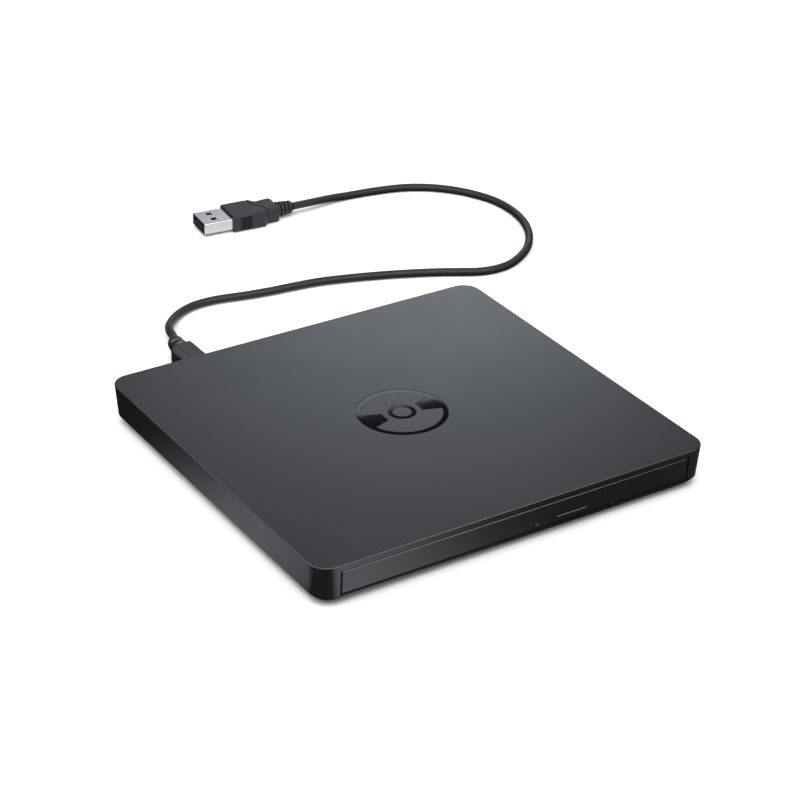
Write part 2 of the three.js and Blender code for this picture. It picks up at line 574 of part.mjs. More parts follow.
function traverseParts() {
  node('traverse_frame', traverseFrame(), 'steel', traverse);
  for (const [name, v] of [['inner', -ROD_OFFSET], ['outer', ROD_OFFSET]]) {
    node(`guide_rod_${name}`, barrelX(v, ROD_Z, ROD_R, [5.8, 56.2]), 'steel', traverse);
  }
  node('pickup_sled', pickupSled(), 'alloy', traverse);
  node('lens_holder', lensHolder(), 'inner_black', traverse);
  node('objective_lens', lensShape(), 'lens_blue', traverse);
  node('feed_motor', cut(slab([-6, 4], [SCREW_OFFSET - 2.8, SCREW_OFFSET + 1.9], [4.5, 7.4]),
    barrelX(SCREW_OFFSET, ROD_Z, 0.8, [2, 5])), 'alloy', traverse);
  const screwCore = barrelX(SCREW_OFFSET, ROD_Z, 0.6, [2.6, 50.2]);
  node('lead_screw', join(screwCore, barrelX(SCREW_OFFSET, ROD_Z, 1.0, [5, 48.2])), 'steel', traverse);
  const grommet = [[1.25, 5.1], [2.4, 5.1], [2.4, 5.9], [2.0, 6.3], [2.4, 6.7], [2.4, 7.5], [1.25, 7.5]];
  MOUNTS.forEach(([u, v], i) => {
    const damper = turned(grommet, 12);
    damper.translate(u, v, 0);
    node(`damper_${i + 1}`, damper, 'rubber', traverse);
  });
}

// ---------------------------------------------------------------- cable
function devicePlug() {
  // Moulding: wide at the table side, its upper edges chamfered.
  const [x, z] = [PORT.x, PORT.z];
  const section = polygon([[x - 4.2, z - 3.5], [x + 4.2, z - 3.5], [x + 4.6, z - 3.0], [x + 4.6, z + 1.5],
    [x + 2.7, z + 3.5], [x - 2.7, z + 3.5], [x - 4.6, z + 1.5], [x - 4.6, z - 3.0]]);
  node('device_plug_body', prismY(section, PLUG_Y, 0.3), 'plug_grey');
  node('device_plug_shell', cut(
    solid(prismY(roundedRect(3.4, 0.95, 0.3, x, z), [63.9, PLUG_Y[0] - 0.05])),
    solid(prismY(roundedRect(3.1, 0.65, 0.2, x, z), [63.0, PLUG_Y[0] - 1]))), 'zinc');
}

// Tube of changing radius along a curve: rings set square to it, closed by flat ends.
function sweptTube(curve, steps, sides, radiusAt) {
  const positions = [];
  const index = [];
  const up = new THREE.Vector3(0, 0, 1);
  for (let i = 0; i <= steps; i += 1) {
    const t = i / steps;
    const centre = curve.getPointAt(t);
    const forward = curve.getTangentAt(t);
    const side = new THREE.Vector3().crossVectors(forward, up).normalize();
    const over = new THREE.Vector3().crossVectors(side, forward);
    for (let k = 0; k < sides; k += 1) {
      const angle = 2 * Math.PI * k / sides;
      const spoke = side.clone().multiplyScalar(Math.cos(angle)).addScaledVector(over, Math.sin(angle));
      positions.push(...centre.clone().addScaledVector(spoke, radiusAt(t)).toArray());
    }
  }
  const ends = [positions.length / 3, positions.length / 3 + 1];
  positions.push(...curve.getPointAt(0).toArray(), ...curve.getPointAt(1).toArray());
  for (let k = 0; k < sides; k += 1) {
    const next = (k + 1) % sides;
    for (let i = 0; i < steps; i += 1) {
      const [a, b] = [i * sides + k, i * sides + next];
      index.push(a, b + sides, b, a, a + sides, b + sides);
    }
    index.push(ends[0], k, next);
    index.push(ends[1], steps * sides + next, steps * sides + k);
  }
  const geometry = new THREE.BufferGeometry();
  geometry.setAttribute('position', new THREE.Float32BufferAttribute(positions, 3));
  geometry.setIndex(index);
  return geometry;
}

// Strain relief: tapers towards the cord, with grooves round it.
function reliefTube(points, radii, grooves) {
  const curve = new THREE.CatmullRomCurve3(points.map((p) => new THREE.Vector3(...p)));
  const steps = grooves * 4 + 2;
  return sweptTube(curve, steps, 12, (t) => {
    const step = Math.round(t * steps);
    const inGroove = step > 1 && step < steps - 1 && step % 4 >= 2;
    return THREE.MathUtils.lerp(radii[0], radii[1], t) - (inGroove ? 0.45 : 0);
  });
}

function cordTube() {
  const curve = new THREE.CatmullRomCurve3(CORD_ROUTE.map((p) => new THREE.Vector3(...p)));
  const section = new THREE.Shape();
  for (let k = 0; k < 8; k += 1) {
    const angle = 2 * Math.PI * k / 8;
    const point = [CORD_R * Math.cos(angle), CORD_R * Math.sin(angle)];
    if (k === 0) {
      section.moveTo(...point);
    } else {
      section.lineTo(...point);
    }
  }
  const options = { steps: CORD_STEPS, bevelEnabled: false, extrudePath: curve };
  return new THREE.ExtrudeGeometry(section, options);
}

// USB-A plug, drawn with its mouth towards +X and its centre on the X axis, then laid on the table.
function hostPlugPlace() {
  const group = new THREE.Group();
  const heading = Math.atan2(HOST_MOUTH[1] - HOST_TAIL[1], HOST_MOUTH[0] - HOST_TAIL[0]);
  group.position.set(HOST_MOUTH[0], HOST_MOUTH[1], HOST_Z);
  group.rotation.z = heading;
  drive.add(group);
  return group;
}

// Hollow box section along X between x0 and x1.
function boxAlongX(halfY, halfZ, r, x, bevel = 0) {
  const geometry = prismGeometry(roundedRect(halfY, halfZ, r), [0, x[1] - x[0]], bevel, 3);
  geometry.rotateY(Math.PI / 2);
  geometry.rotateX(Math.PI / 2);
  geometry.translate(x[0], 0, 0);
  return solid(geometry);
}

function hostPlug() {
  const place = hostPlugPlace();
  const { w, h, l, t } = HOST_SHELL;
  const shellBack = -l;
  const holes = [-2.5, 2.5].flatMap((v) => [
    slab([-6.3, -4.1], [v - 1.0, v + 1.0], [0.5, 4]),
    slab([-6.3, -4.1], [v - 1.0, v + 1.0], [-4, -1.9]),
  ]);
  const shell = cut(boxAlongX(w / 2, h / 2, 0.35, [shellBack, 0]),
    boxAlongX(w / 2 - t, h / 2 - t, 0.2, [shellBack + 0.4, 1]), ...holes);
  node('host_plug_shell', shell, 'zinc', place);
  const tongue = slab([shellBack + 0.5, -0.6], [-5.3, 5.3], [-1.85, -0.1]);
  node('host_plug_tongue', tongue, 'inner_black', place);
  const front = shellBack - 0.05;
  const body = HOST_BODY;
  const side = new THREE.Shape();
  side.moveTo(front, -body.w / 2);
  side.lineTo(front, body.w / 2);
  side.lineTo(front - body.wide, body.w / 2);
  side.quadraticCurveTo(front - body.wide - 1.6, body.neck / 2, front - body.wide - 3.4, body.neck / 2);
  side.lineTo(front - body.l, body.neck / 2 - 0.6);
  side.lineTo(front - body.l, -body.neck / 2 + 0.6);
  side.lineTo(front - body.wide - 3.4, -body.neck / 2);
  side.quadraticCurveTo(front - body.wide - 1.6, -body.neck / 2, front - body.wide, -body.w / 2);
  node('host_plug_body', prism(side, [-body.h / 2, body.h / 2], 0.5, 4), 'plug_grey', place);
  const back = front - body.l - 0.3;
  const tail = -Math.hypot(HOST_TAIL[0] - HOST_MOUTH[0], HOST_TAIL[1] - HOST_MOUTH[1]);
  node('host_relief', reliefTube([[back, 0, 0], [(back + tail) / 2, 0, 0], [tail, 0, 0]], [3.0, 2.3], 4),
    'plug_grey', place);
}

function cable() {
  devicePlug();
  const start = [PORT.x, PLUG_Y[1] + 0.3, PORT.z];
  const sleevePath = [start, [-33.55, 92.9, 5.45], [-32.75, 96.6, 5.3]];
  node('device_relief', reliefTube(sleevePath, [3.4, 2.6], 2), 'plug_grey');
  node('cord', cordTube(), 'cord_black');
  hostPlug();
}

// ---------------------------------------------------------------- assembly
node('top_cover', topCover(), 'case_black');
emblem();
node('bottom_cover', bottomCover(), 'inner_black');
caseHardware();
rearElectronics();
chassisParts();
rails();
drawer();
spindle();
traverseParts();
cable();

export default drive;
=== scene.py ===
import math

import bmesh
import bpy
from mathutils import Matrix, Vector


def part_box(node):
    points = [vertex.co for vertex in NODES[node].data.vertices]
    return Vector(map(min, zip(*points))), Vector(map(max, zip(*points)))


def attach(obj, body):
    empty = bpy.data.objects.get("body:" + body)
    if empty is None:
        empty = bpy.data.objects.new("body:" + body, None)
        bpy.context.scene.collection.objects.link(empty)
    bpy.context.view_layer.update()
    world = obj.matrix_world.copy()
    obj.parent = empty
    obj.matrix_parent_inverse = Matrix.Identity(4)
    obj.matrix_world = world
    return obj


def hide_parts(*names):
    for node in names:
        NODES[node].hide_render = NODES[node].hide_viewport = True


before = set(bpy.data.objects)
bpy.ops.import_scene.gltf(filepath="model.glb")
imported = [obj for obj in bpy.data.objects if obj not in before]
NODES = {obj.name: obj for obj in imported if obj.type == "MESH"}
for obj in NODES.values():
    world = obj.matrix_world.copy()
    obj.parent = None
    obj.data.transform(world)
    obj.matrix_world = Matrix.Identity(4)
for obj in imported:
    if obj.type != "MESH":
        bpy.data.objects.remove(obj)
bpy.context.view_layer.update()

MM = 0.001


# ---------------------------------------------------------------- places, read from the frame (mm)
def box_mm(node):
    """Lowest and highest corner of a CAD node, in millimetres."""
    low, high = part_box(node)
    return [c / MM for c in low], [c / MM for c in high]


CASE_LOW, CASE_HIGH = box_mm("top_cover")
HALF_X = (CASE_HIGH[0] - CASE_LOW[0]) / 2
HALF_Y = (CASE_HIGH[1] - CASE_LOW[1]) / 2
TOP_Z = CASE_HIGH[2]
WALL_FOOT_Z = 3.0
CORNER_R = 6.4
DRAFT = 0.73
WALL = 1.6
ROOF = 1.4
BEZEL_LOW, BEZEL_HIGH = box_mm("tray_bezel")
BUTTON_LOW, BUTTON_HIGH = box_mm("eject_button")
LAMP_LOW, LAMP_HIGH = box_mm("lamp_lens")
LAMP_X, LAMP_Z = (LAMP_LOW[0] + LAMP_HIGH[0]) / 2, 5.4
PIN_HOLE = (34.5, 4.7, 0.45)
PORT_X, PORT_Z = -33.95, 5.5
DISC_Y = -3.5
PATH_TURN = math.radians(-135)


# ---------------------------------------------------------------- mesh helpers (mm in, metres out)
def mesh_object(name, verts, faces, sharp=30):
    """Mesh object from points in mm, shaded smooth except over edges sharper than `sharp` degrees."""
    mesh = bpy.data.meshes.new(name)
    mesh.from_pydata([tuple(c * MM for c in v) for v in verts], [], faces)
    mesh.validate()
    obj = bpy.data.objects.new(name, mesh)
    bpy.context.scene.collection.objects.link(obj)
    shade(obj, sharp)
    return obj


def mark_sharp(mesh, sharp):
    """Marks the edges at which two faces meet at more than `sharp` degrees, and smooths the rest."""
    work = bmesh.new()
    work.from_mesh(mesh)
    for edge in work.edges:
        edge.smooth = len(edge.link_faces) == 2 and edge.calc_face_angle(0.0) < math.radians(sharp)
    for face in work.faces:
        face.smooth = True
    work.to_mesh(mesh)
    work.free()


def shade(obj, sharp=30):
    """Smooth shading in which the large faces stay flat and the small edge faces turn between them."""
    mark_sharp(obj.data, sharp)
    step = obj.modifiers.new("flat_faces", "WEIGHTED_NORMAL")
    step.keep_sharp = True
    settle(obj)
    mesh = obj.data
    normals = [tuple(corner.vector) for corner in mesh.corner_normals]
    for face in mesh.polygons:
        heights = [mesh.vertices[i].co.z for i in face.vertices]
        if max(heights) - min(heights) < 0.001 * MM and abs(face.normal.z) > 0.5:
            flat = (0.0, 0.0, math.copysign(1.0, face.normal.z))
        elif face.loop_total > 4 and face.area > 40 * MM * MM:
            flat = tuple(face.normal)
        else:
            continue
        for loop in face.loop_indices:
            normals[loop] = flat
    mesh.normals_split_custom_set(normals)


def loft(rings, closed=False):
    """Skin over rings of equal length. The two ends are capped, or joined to each other when closed."""
    count = len(rings[0])
    verts = [p for ring in rings for p in ring]
    faces = []
    spans = len(rings) if closed else len(rings) - 1
    for i in range(spans):
        a, b = i * count, ((i + 1) % len(rings)) * count
        for k in range(count):
            n = (k + 1) % count
            faces.append((a + k, a + n, b + n, b + k))
    if not closed:
        faces.append(tuple(reversed(range(count))))
        faces.append(tuple(range((len(rings) - 1) * count, len(rings) * count)))
    return verts, faces


def rounded(half_x, half_y, r, n=8, cx=0.0, cy=0.0):
    """Outline of a rectangle with round corners, n steps a corner, anticlockwise."""
    points = []
    for sx, sy, start in ((1, -1, -90), (1, 1, 0), (-1, 1, 90), (-1, -1, 180)):
        for k in range(n + 1):
            a = math.radians(start + 90 * k / n)
            x = cx + sx * (half_x - r) + r * math.cos(a)
            y = cy + sy * (half_y - r) + r * math.sin(a)
            points.append((x, y))
    return points


SMALLEST_CORNER = 0.02            # corner radius left where an edge takes up the whole of it


def level(outline, z):
    return [(x, y, z) for x, y in outline]


def edge_steps(r, n=3):
    """Insets and depths of a quarter-round edge of radius r, from the flat face outwards."""
    turns = [math.pi / 2 * k / n for k in range(n + 1)]
    return [(r * (1 - math.sin(a)), r * (1 - math.cos(a))) for a in turns]


def soft_prism(name, half_x, half_y, r, z, top=0.3, bottom=0.3, n=8, cx=0.0, cy=0.0, sharp=30,
               place=None):
    """Rounded-rectangle prism with rounded top and bottom edges. place moves each finished point."""
    def ring(inset, height):
        outline = rounded(half_x - inset, half_y - inset, max(r - inset, SMALLEST_CORNER), n, cx, cy)
        return level(outline, height)

    lower = edge_steps(bottom) if bottom else [(0, 0)]
    upper = edge_steps(top) if top else [(0, 0)]
    rings = [ring(inset, z[0] + depth) for inset, depth in lower]
    rings += [ring(inset, z[1] - depth) for inset, depth in reversed(upper)]
    if place:
        rings = [[place(p) for p in ring] for ring in rings]
    return mesh_object(name, *loft(rings), sharp=sharp)


def along_y(p, y0):
    """Turns a point of a prism drawn upright into one that runs along +Y from y0: x stays, y becomes z."""
    return (p[0], y0 + p[2], p[1])


def prism_y(name, half_x, half_z, r, y, front=0.3, back=0.3, n=8, cx=0.0, cz=0.0, sharp=30):
    """Rounded-rectangle prism along Y."""
    obj = soft_prism(name, half_x, half_z, r, (0, y[1] - y[0]), top=back, bottom=front, n=n, cx=cx, cy=cz,
                     sharp=sharp, place=lambda p: along_y(p, y[0]))
    obj.data.flip_normals()
    return obj


def slab(name, x, y, z):
    outline = [(x[0], y[0]), (x[1], y[0]), (x[1], y[1]), (x[0], y[1])]
    return mesh_object(name, *loft([level(outline, h) for h in z]))


def turned(name, profile, n=48, at=(0, 0), sharp=30):
    """Piece turned about Z: its (radius, z) points start and end on the axis or close on themselves."""
    on_axis = profile[0][0] == 0
    inner = profile[1:-1] if on_axis else profile
    turns = [2 * math.pi * k / n for k in range(n)]
    rings = [[(at[0] + r * math.cos(a), at[1] + r * math.sin(a), z) for a in turns] for r, z in inner]
    verts, faces = loft(rings, closed=not on_axis)
    return mesh_object(name, verts, faces, sharp)


def barrel(name, a, b, r, n=20):
    """Cylinder between two points."""
    a, b = Vector(a), Vector(b)
    turn = (b - a).to_track_quat("Z", "Y").to_matrix()
    spokes = [turn @ Vector((r * math.cos(angle), r * math.sin(angle), 0))
              for angle in (2 * math.pi * k / n for k in range(n))]
    return mesh_object(name, *loft([[tuple(centre + spoke) for spoke in spokes] for centre in (a, b)]))


def settle(obj):
    """Applies an object's modifiers to its mesh."""
    graph = bpy.context.evaluated_depsgraph_get()
    graph.update()
    mesh = bpy.data.meshes.new_from_object(obj.evaluated_get(graph))
    obj.modifiers.clear()
    old = obj.data
    obj.data = mesh
    bpy.data.meshes.remove(old)


def carve(obj, tools, operation="DIFFERENCE", sharp=30):
    """Cuts the tools out of obj, or joins them to it, and removes them."""
    for tool in tools:
        step = obj.modifiers.new("carve", "BOOLEAN")
        step.operation = operation
        step.solver = "EXACT"
        step.object = tool
        settle(obj)
        bpy.data.objects.remove(tool)
    shade(obj, sharp)
    return obj


def soften(obj, width, angle=40, segments=2, sharp=30):
    """Rounds the sharp edges that cutting left."""
    step = obj.modifiers.new("soften", "BEVEL")
    step.width = width * MM
    step.segments = segments
    step.limit_method = "ANGLE"
    step.angle_limit = math.radians(angle)
    step.use_clamp_overlap = True
    step.harden_normals = False
    settle(obj)
    shade(obj, sharp)
    return obj


def merge(name, objects):
    """One object out of several, keeping their materials."""
    with bpy.context.temp_override(active_object=objects[0], selected_editable_objects=objects):
        bpy.ops.object.join()
    objects[0].name = name
    return objects[0]


def moved(obj, matrix):
    obj.data.transform(matrix)
    return obj


def put(obj, material, body, slot, *nodes):
    """Gives a finished piece its material, its body and the CAD nodes it stands for."""
    if material is not None:
        obj.data.materials.clear()
        obj.data.materials.append(material)
    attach(obj, body)
    if nodes:
        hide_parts(*nodes)
    return obj


# ---------------------------------------------------------------- materials
def new_material(name, color, roughness, metallic=0.0, specular=0.5):
    material = bpy.data.materials.new(name)
    material.use_nodes = True
    shader = material.node_tree.nodes["Principled BSDF"]
    shader.inputs["Base Color"].default_value = (*color, 1)
    shader.inputs["Roughness"].default_value = roughness
    shader.inputs["Metallic"].default_value = metallic
    shader.inputs["Specular IOR Level"].default_value = specular
    return material, material.node_tree, shader


def add(tree, kind, **values):
    """A node with its properties and inputs set by name."""
    node = tree.nodes.new(kind)
    for key, value in values.items():
        if key in node.inputs:
            node.inputs[key].default_value = value
        else:
            setattr(node, key, value)
    return node


def coordinates(tree, stretch=(1, 1, 1)):
    place = add(tree, "ShaderNodeTexCoord")
    scale = add(tree, "ShaderNodeMapping")
    scale.inputs["Scale"].default_value = stretch
    tree.links.new(place.outputs["Object"], scale.inputs["Vector"])
    return scale.outputs["Vector"]


def noise(tree, vector, scale, detail=3.0):
    node = add(tree, "ShaderNodeTexNoise", Scale=scale, Detail=detail)
    tree.links.new(vector, node.inputs["Vector"])
    return node.outputs["Fac"]


def spread(tree, value, low, high, start=0.3, end=0.7):
    """Maps a noise value from start..end to low..high."""
    node = add(tree, "ShaderNodeMapRange")
    for key, number in (("From Min", start), ("From Max", end), ("To Min", low), ("To Max", high)):
        node.inputs[key].default_value = number
    tree.links.new(value, node.inputs["Value"])
    return node.outputs["Result"]


def tint(tree, value, dark, light):
    ramp = add(tree, "ShaderNodeValToRGB")
    ramp.color_ramp.elements[0].position = 0.3
    ramp.color_ramp.elements[1].position = 0.7
    ramp.color_ramp.elements[0].color = (*dark, 1)
    ramp.color_ramp.elements[1].color = (*light, 1)
    tree.links.new(value, ramp.inputs["Fac"])
    return ramp.outputs["Color"]


def bump(tree, shader, value, depth):
    """Bump of a real depth in metres."""
    node = add(tree, "ShaderNodeBump", Strength=1.0, Distance=depth)
    tree.links.new(value, node.inputs["Height"])
    tree.links.new(node.outputs["Normal"], shader.inputs["Normal"])


def moulded(name, color, roughness, grain_mm=0.25, depth=0.000004, vary=0.06, specular=0.5, lift=1.25):
    """Moulded plastic or rubber: spark-eroded grain, faint mottling and uneven gloss."""
    material, tree, shader = new_material(name, color, roughness, specular=specular)
    vector = coordinates(tree)
    grain = noise(tree, vector, 1 / (grain_mm * MM), 2.0)
    cloud = noise(tree, vector, 55.0, 4.0)
    bump(tree, shader, grain, depth)
    uneven = spread(tree, cloud, roughness - vary / 2, roughness + vary / 2)
    tree.links.new(uneven, shader.inputs["Roughness"])
    lighter = tuple(min(c * lift, 1) for c in color)
    tree.links.new(tint(tree, grain, color, lighter), shader.inputs["Base Color"])
    return material


def metal(name, color, roughness, stretch=(1, 40, 40), vary=0.12, depth=0.000002):
    """Rolled or drawn metal: fine lines along one axis, with duller and brighter bands."""
    material, tree, shader = new_material(name, color, roughness, metallic=1.0)
    lines = noise(tree, coordinates(tree, stretch), 160.0, 6.0)
    cloud = noise(tree, coordinates(tree), 90.0, 3.0)
    bump(tree, shader, lines, depth)
    uneven = spread(tree, lines, roughness - vary / 2, roughness + vary / 2)
    tree.links.new(uneven, shader.inputs["Roughness"])
    tree.links.new(tint(tree, cloud, tuple(c * 0.86 for c in color), color), shader.inputs["Base Color"])
    return material


def circuit(name):
    """Green solder mask with paler copper tracks under it and tinned pads."""
    material, tree, shader = new_material(name, (0.01, 0.09, 0.03), 0.35)
    vector = coordinates(tree)
    tracks = add(tree, "ShaderNodeTexBrick", Scale=380.0)
    tracks.inputs["Color1"].default_value = (0.008, 0.07, 0.025, 1)
    tracks.inputs["Color2"].default_value = (0.012, 0.10, 0.035, 1)
    tracks.inputs["Mortar"].default_value = (0.03, 0.2, 0.07, 1)
    tree.links.new(vector, tracks.inputs["Vector"])
    pads = add(tree, "ShaderNodeTexVoronoi", Scale=420.0)
    tree.links.new(vector, pads.inputs["Vector"])
    near = spread(tree, pads.outputs["Distance"], 1.0, 0.0, 0.12, 0.16)
    mix = add(tree, "ShaderNodeMix", data_type="RGBA")
    tree.links.new(near, mix.inputs["Factor"])
    tree.links.new(tracks.outputs["Color"], mix.inputs["A"])
    mix.inputs["B"].default_value = (0.55, 0.55, 0.5, 1)
    tree.links.new(mix.outputs["Result"], shader.inputs["Base Color"])
    bump(tree, shader, near, 0.00002)
    return material


def make_materials():
    return {
        "case": moulded("satin_case_plastic", (0.0078, 0.0080, 0.0088), 0.33, 0.18, 0.0000012, 0.03,
                        lift=1.12),
        "base": moulded("matt_base_plastic", (0.005, 0.005, 0.0053), 0.7, 0.35, 0.000012, specular=0.2),
        "gloss": moulded("polished_inlay", (0.004, 0.004, 0.0045), 0.035, 0.6, 0.00000003, 0.01),
        "bezel": moulded("bezel_plastic", (0.0074, 0.0074, 0.0077), 0.3, 0.18, 0.0000012, 0.03,
                         lift=1.12),
        "tray": moulded("tray_plastic", (0.011, 0.011, 0.012), 0.5, 0.3, 0.000006),
        "rubber": moulded("foot_rubber", (0.012, 0.012, 0.013), 0.8, 0.4, 0.00002, 0.1),
        "cord": moulded("cord_pvc", (0.0112, 0.0116, 0.0128), 0.46, 0.5, 0.0000015, 0.08, 0.26),
        "plug": moulded("plug_overmould", (0.0118, 0.0134, 0.0168), 0.5, 0.2, 0.000006, 0.08, 0.3),
        "grip": moulded("plug_grip_insert", (0.005, 0.0055, 0.0065), 0.6, 0.2, 0.000006, 0.08, 0.2),
        "rear": moulded("rear_plug_overmould", (0.0074, 0.0075, 0.0080), 0.4, 0.2, 0.000004, 0.06),
        "nylon": moulded("natural_nylon", (0.72, 0.70, 0.64), 0.45, 0.4, 0.000004),
        "chip": moulded("chip_epoxy", (0.012, 0.012, 0.013), 0.55, 0.15, 0.000004),
        "steel": metal("zinc_plated_steel", (0.62, 0.63, 0.64), 0.32),
        "alloy": metal("stamped_alloy", (0.30, 0.305, 0.315), 0.45, (40, 1, 40)),
        "nickel": metal("nickel_plate", (0.49, 0.475, 0.46), 0.26, (30, 1, 30), 0.08, 0.0000008),
        "gold": metal("gold_contacts", (0.83, 0.6, 0.25), 0.25, (1, 30, 30), 0.08, 0.0000008),
        "circuit": circuit("circuit_board"),
        "flex": moulded("polyimide_ribbon", (0.32, 0.12, 0.015), 0.3, 1.2, 0.000004, 0.08),
        "lamp": moulded("lamp_light_pipe", (0.034, 0.036, 0.038), 0.2, 0.4, 0.000001),
        "lens": moulded("coated_lens", (0.10, 0.14, 0.26), 0.05, 2.0, 0.0000004, 0.02, 0.9),
    }


# ---------------------------------------------------------------- camera, floor and light
CAMERA_TURNS = (-32.70, 28.88, 0.88)          # azimuth, elevation and roll, in degrees
CAMERA_TARGET = Vector((0.01736, 0.02841, 0))
CAMERA_DISTANCE = 0.81794
CAMERA_LENS = 108.47                          # on a sensor 36 mm wide
FLOOR_HALF = 6000.0                           # mm
KEY_PLACE = Vector((-0.5, -0.4, 2.2))
KEY_SIDE = 2.4
KEY_POWER = 38
SKY_STRENGTH = 1.25
SKY_STEPS = ((0.0, 0.02), (0.05, 0.5), (0.4, 0.5), (0.56, 1.0))      # height, brightness


def add_camera():
    """Camera at the photograph's angle, with a slight roll."""
    azimuth, elevation, roll = (math.radians(turn) for turn in CAMERA_TURNS)
    back = Vector((math.sin(azimuth) * math.cos(elevation), -math.cos(azimuth) * math.cos(elevation),
                   math.sin(elevation)))
    right = Vector((math.cos(azimuth), math.sin(azimuth), 0))
    up = back.cross(right)
    right_rolled = right * math.cos(roll) + up * math.sin(roll)
    up_rolled = up * math.cos(roll) - right * math.sin(roll)
    data = bpy.data.cameras.new("camera")
    data.sensor_width = 36.0
    data.lens = CAMERA_LENS
    data.clip_start = 0.01
    data.clip_end = 50
    camera = bpy.data.objects.new("camera", data)
    turn = Matrix((right_rolled, up_rolled, back)).transposed()
    camera.matrix_world = Matrix.Translation(CAMERA_TARGET + back * CAMERA_DISTANCE) @ turn.to_4x4()
    bpy.context.scene.collection.objects.link(camera)
    bpy.context.scene.camera = camera


def add_floor():
    corners = [(sx * FLOOR_HALF, sy * FLOOR_HALF, 0) for sx, sy in ((-1, -1), (1, -1), (1, 1), (-1, 1))]
    floor = mesh_object("floor", corners, [(0, 1, 2, 3)])
    material, _, shader = new_material("white_floor", (0.93, 0.93, 0.935), 0.9, specular=0.1)
    floor.data.materials.append(material)
    floor.visible_glossy = False


def key_light():
    """Large soft lamp over the front left, aimed at the origin and left out of reflections."""
    data = bpy.data.lights.new("key", "AREA")
    data.shape = "RECTANGLE"
    data.size = data.size_y = KEY_SIDE
    data.energy = KEY_POWER
    light = bpy.data.objects.new("key", data)
    turn = KEY_PLACE.to_track_quat("Z", "Y").to_matrix().to_4x4()
    light.matrix_world = Matrix.Translation(KEY_PLACE) @ turn
    light.visible_glossy = False
    bpy.context.scene.collection.objects.link(light)


def between(table, value):
    """Reads a table of (place, number) pairs, straight between its entries and level beyond its ends."""
    if value <= table[0][0]:
        return table[0][1]
    for (x0, y0), (x1, y1) in zip(table, table[1:]):
        if value <= x1:
            return y0 + (y1 - y0) * (value - x0) / (x1 - x0)
    return table[-1][1]


def reflection_card(name, corner, across, along, steps, glow, color=(1, 1, 1)):
    """Card seen only in reflections. Its glow differs over its face: glow(u, v), u and v from 0 to 1."""
    corner, across, along = Vector(corner), Vector(across), Vector(along)
    places = [(i / steps[0], j / steps[1]) for j in range(steps[1] + 1) for i in range(steps[0] + 1)]
    row = steps[0] + 1
    faces = [(j * row + i, j * row + i + 1, (j + 1) * row + i + 1, (j + 1) * row + i)
             for j in range(steps[1]) for i in range(steps[0])]
    mesh = bpy.data.meshes.new(name)
    mesh.from_pydata([corner + across * u + along * v for u, v in places], [], faces)
    values = mesh.attributes.new("glow", "FLOAT", "POINT")
    values.data.foreach_set("value", [glow(u, v) for u, v in places])
    card = bpy.data.objects.new(name, mesh)
    bpy.context.scene.collection.objects.link(card)
    material = bpy.data.materials.new(name)
    material.use_nodes = True
    tree = material.node_tree
    tree.nodes.clear()
    source = add(tree, "ShaderNodeAttribute", attribute_name="glow")
    light = add(tree, "ShaderNodeEmission", Color=(*color, 1))
    output = add(tree, "ShaderNodeOutputMaterial")
    tree.links.new(source.outputs["Fac"], light.inputs["Strength"])
    tree.links.new(light.outputs["Emission"], output.inputs["Surface"])
    mesh.materials.append(material)
    card.visible_camera = False
    card.visible_diffuse = False
    card.visible_shadow = False
    card.visible_transmission = False
    return card


# The panel behind, in metres: its left end, its length, and the height of its bright part.
PANEL_LEFT = -0.6
PANEL_LONG = 2.0
PANEL_TALL = 0.3
# It glows in one soft patch: the centre and the reach, as x and height from the panel's top edge.
PATCH_CENTRE = (0.34, -0.09)
PATCH_REACH = (0.20, 0.10)
PATCH_PEAK = 3.1


def back_glow(u, v):
    """Glow of the panel behind, fading evenly from the middle of its soft patch."""
    x, rise = PANEL_LEFT + PANEL_LONG * u, PANEL_TALL * (v - 1)
    across = (x - PATCH_CENTRE[0]) / PATCH_REACH[0]
    below = (rise - PATCH_CENTRE[1]) / PATCH_REACH[1]
    return PATCH_PEAK * math.exp(-across ** 2 - below ** 2)


def left_glow(u, v):
    """Glow of the floor beside the left wall, from the front to the rear."""
    y = -0.09 + 0.5 * v
    return between([(-0.0555, 0.0), (-0.0525, 0.36), (-0.040, 0.53), (-0.020, 0.68), (0.0, 0.58),
                    (0.02, 0.33), (0.04, 0.11), (0.055, 0.015), (0.07, 0.0)], y)


def plug_glow(u, v):
    """Glow of the floor beside the USB-A plug."""
    return between([(0.0, 0.0), (0.3, 1.2), (1.0, 1.6)], v)


def front_glow(u, v):
    """Glow of the floor before the front, from the left to the right."""
    x = -0.12 + 0.5 * u
    return between([(-0.0655, 0.0), (-0.0635, 1.45), (-0.050, 1.45), (-0.035, 1.1), (-0.020, 0.68),
                    (-0.005, 0.32), (0.010, 0.14), (0.025, 0.05), (0.06, 0.05), (0.08, 0.1)], x)


BAND_CENTRE = Vector((-0.03, -0.03, 0.014))
BAND_RADIUS = 0.42


def edge_band():
    """Curved strip light whose image runs along the case's rounded top edge, from the left to the front."""
    to_camera = bpy.context.scene.camera.matrix_world.to_3x3().col[2].normalized()
    turns, leans = 18, 4
    card = reflection_card("edge_band", BAND_CENTRE, (1, 0, 0), (0, 1, 0), (turns, leans),
                           lambda u, v: 8.0 - 3.0 * u)
    for i, vertex in enumerate(card.data.vertices):
        turn = math.radians(-6 + 102 * (i % (turns + 1)) / turns)
        tilt = math.radians(37 + 16 * (i // (turns + 1)) / leans)
        normal = Vector((-math.sin(turn) * math.sin(tilt), -math.cos(turn) * math.sin(tilt),
                         math.cos(tilt)))
        vertex.co = BAND_CENTRE + BAND_RADIUS * (2 * normal.dot(to_camera) * normal - to_camera)


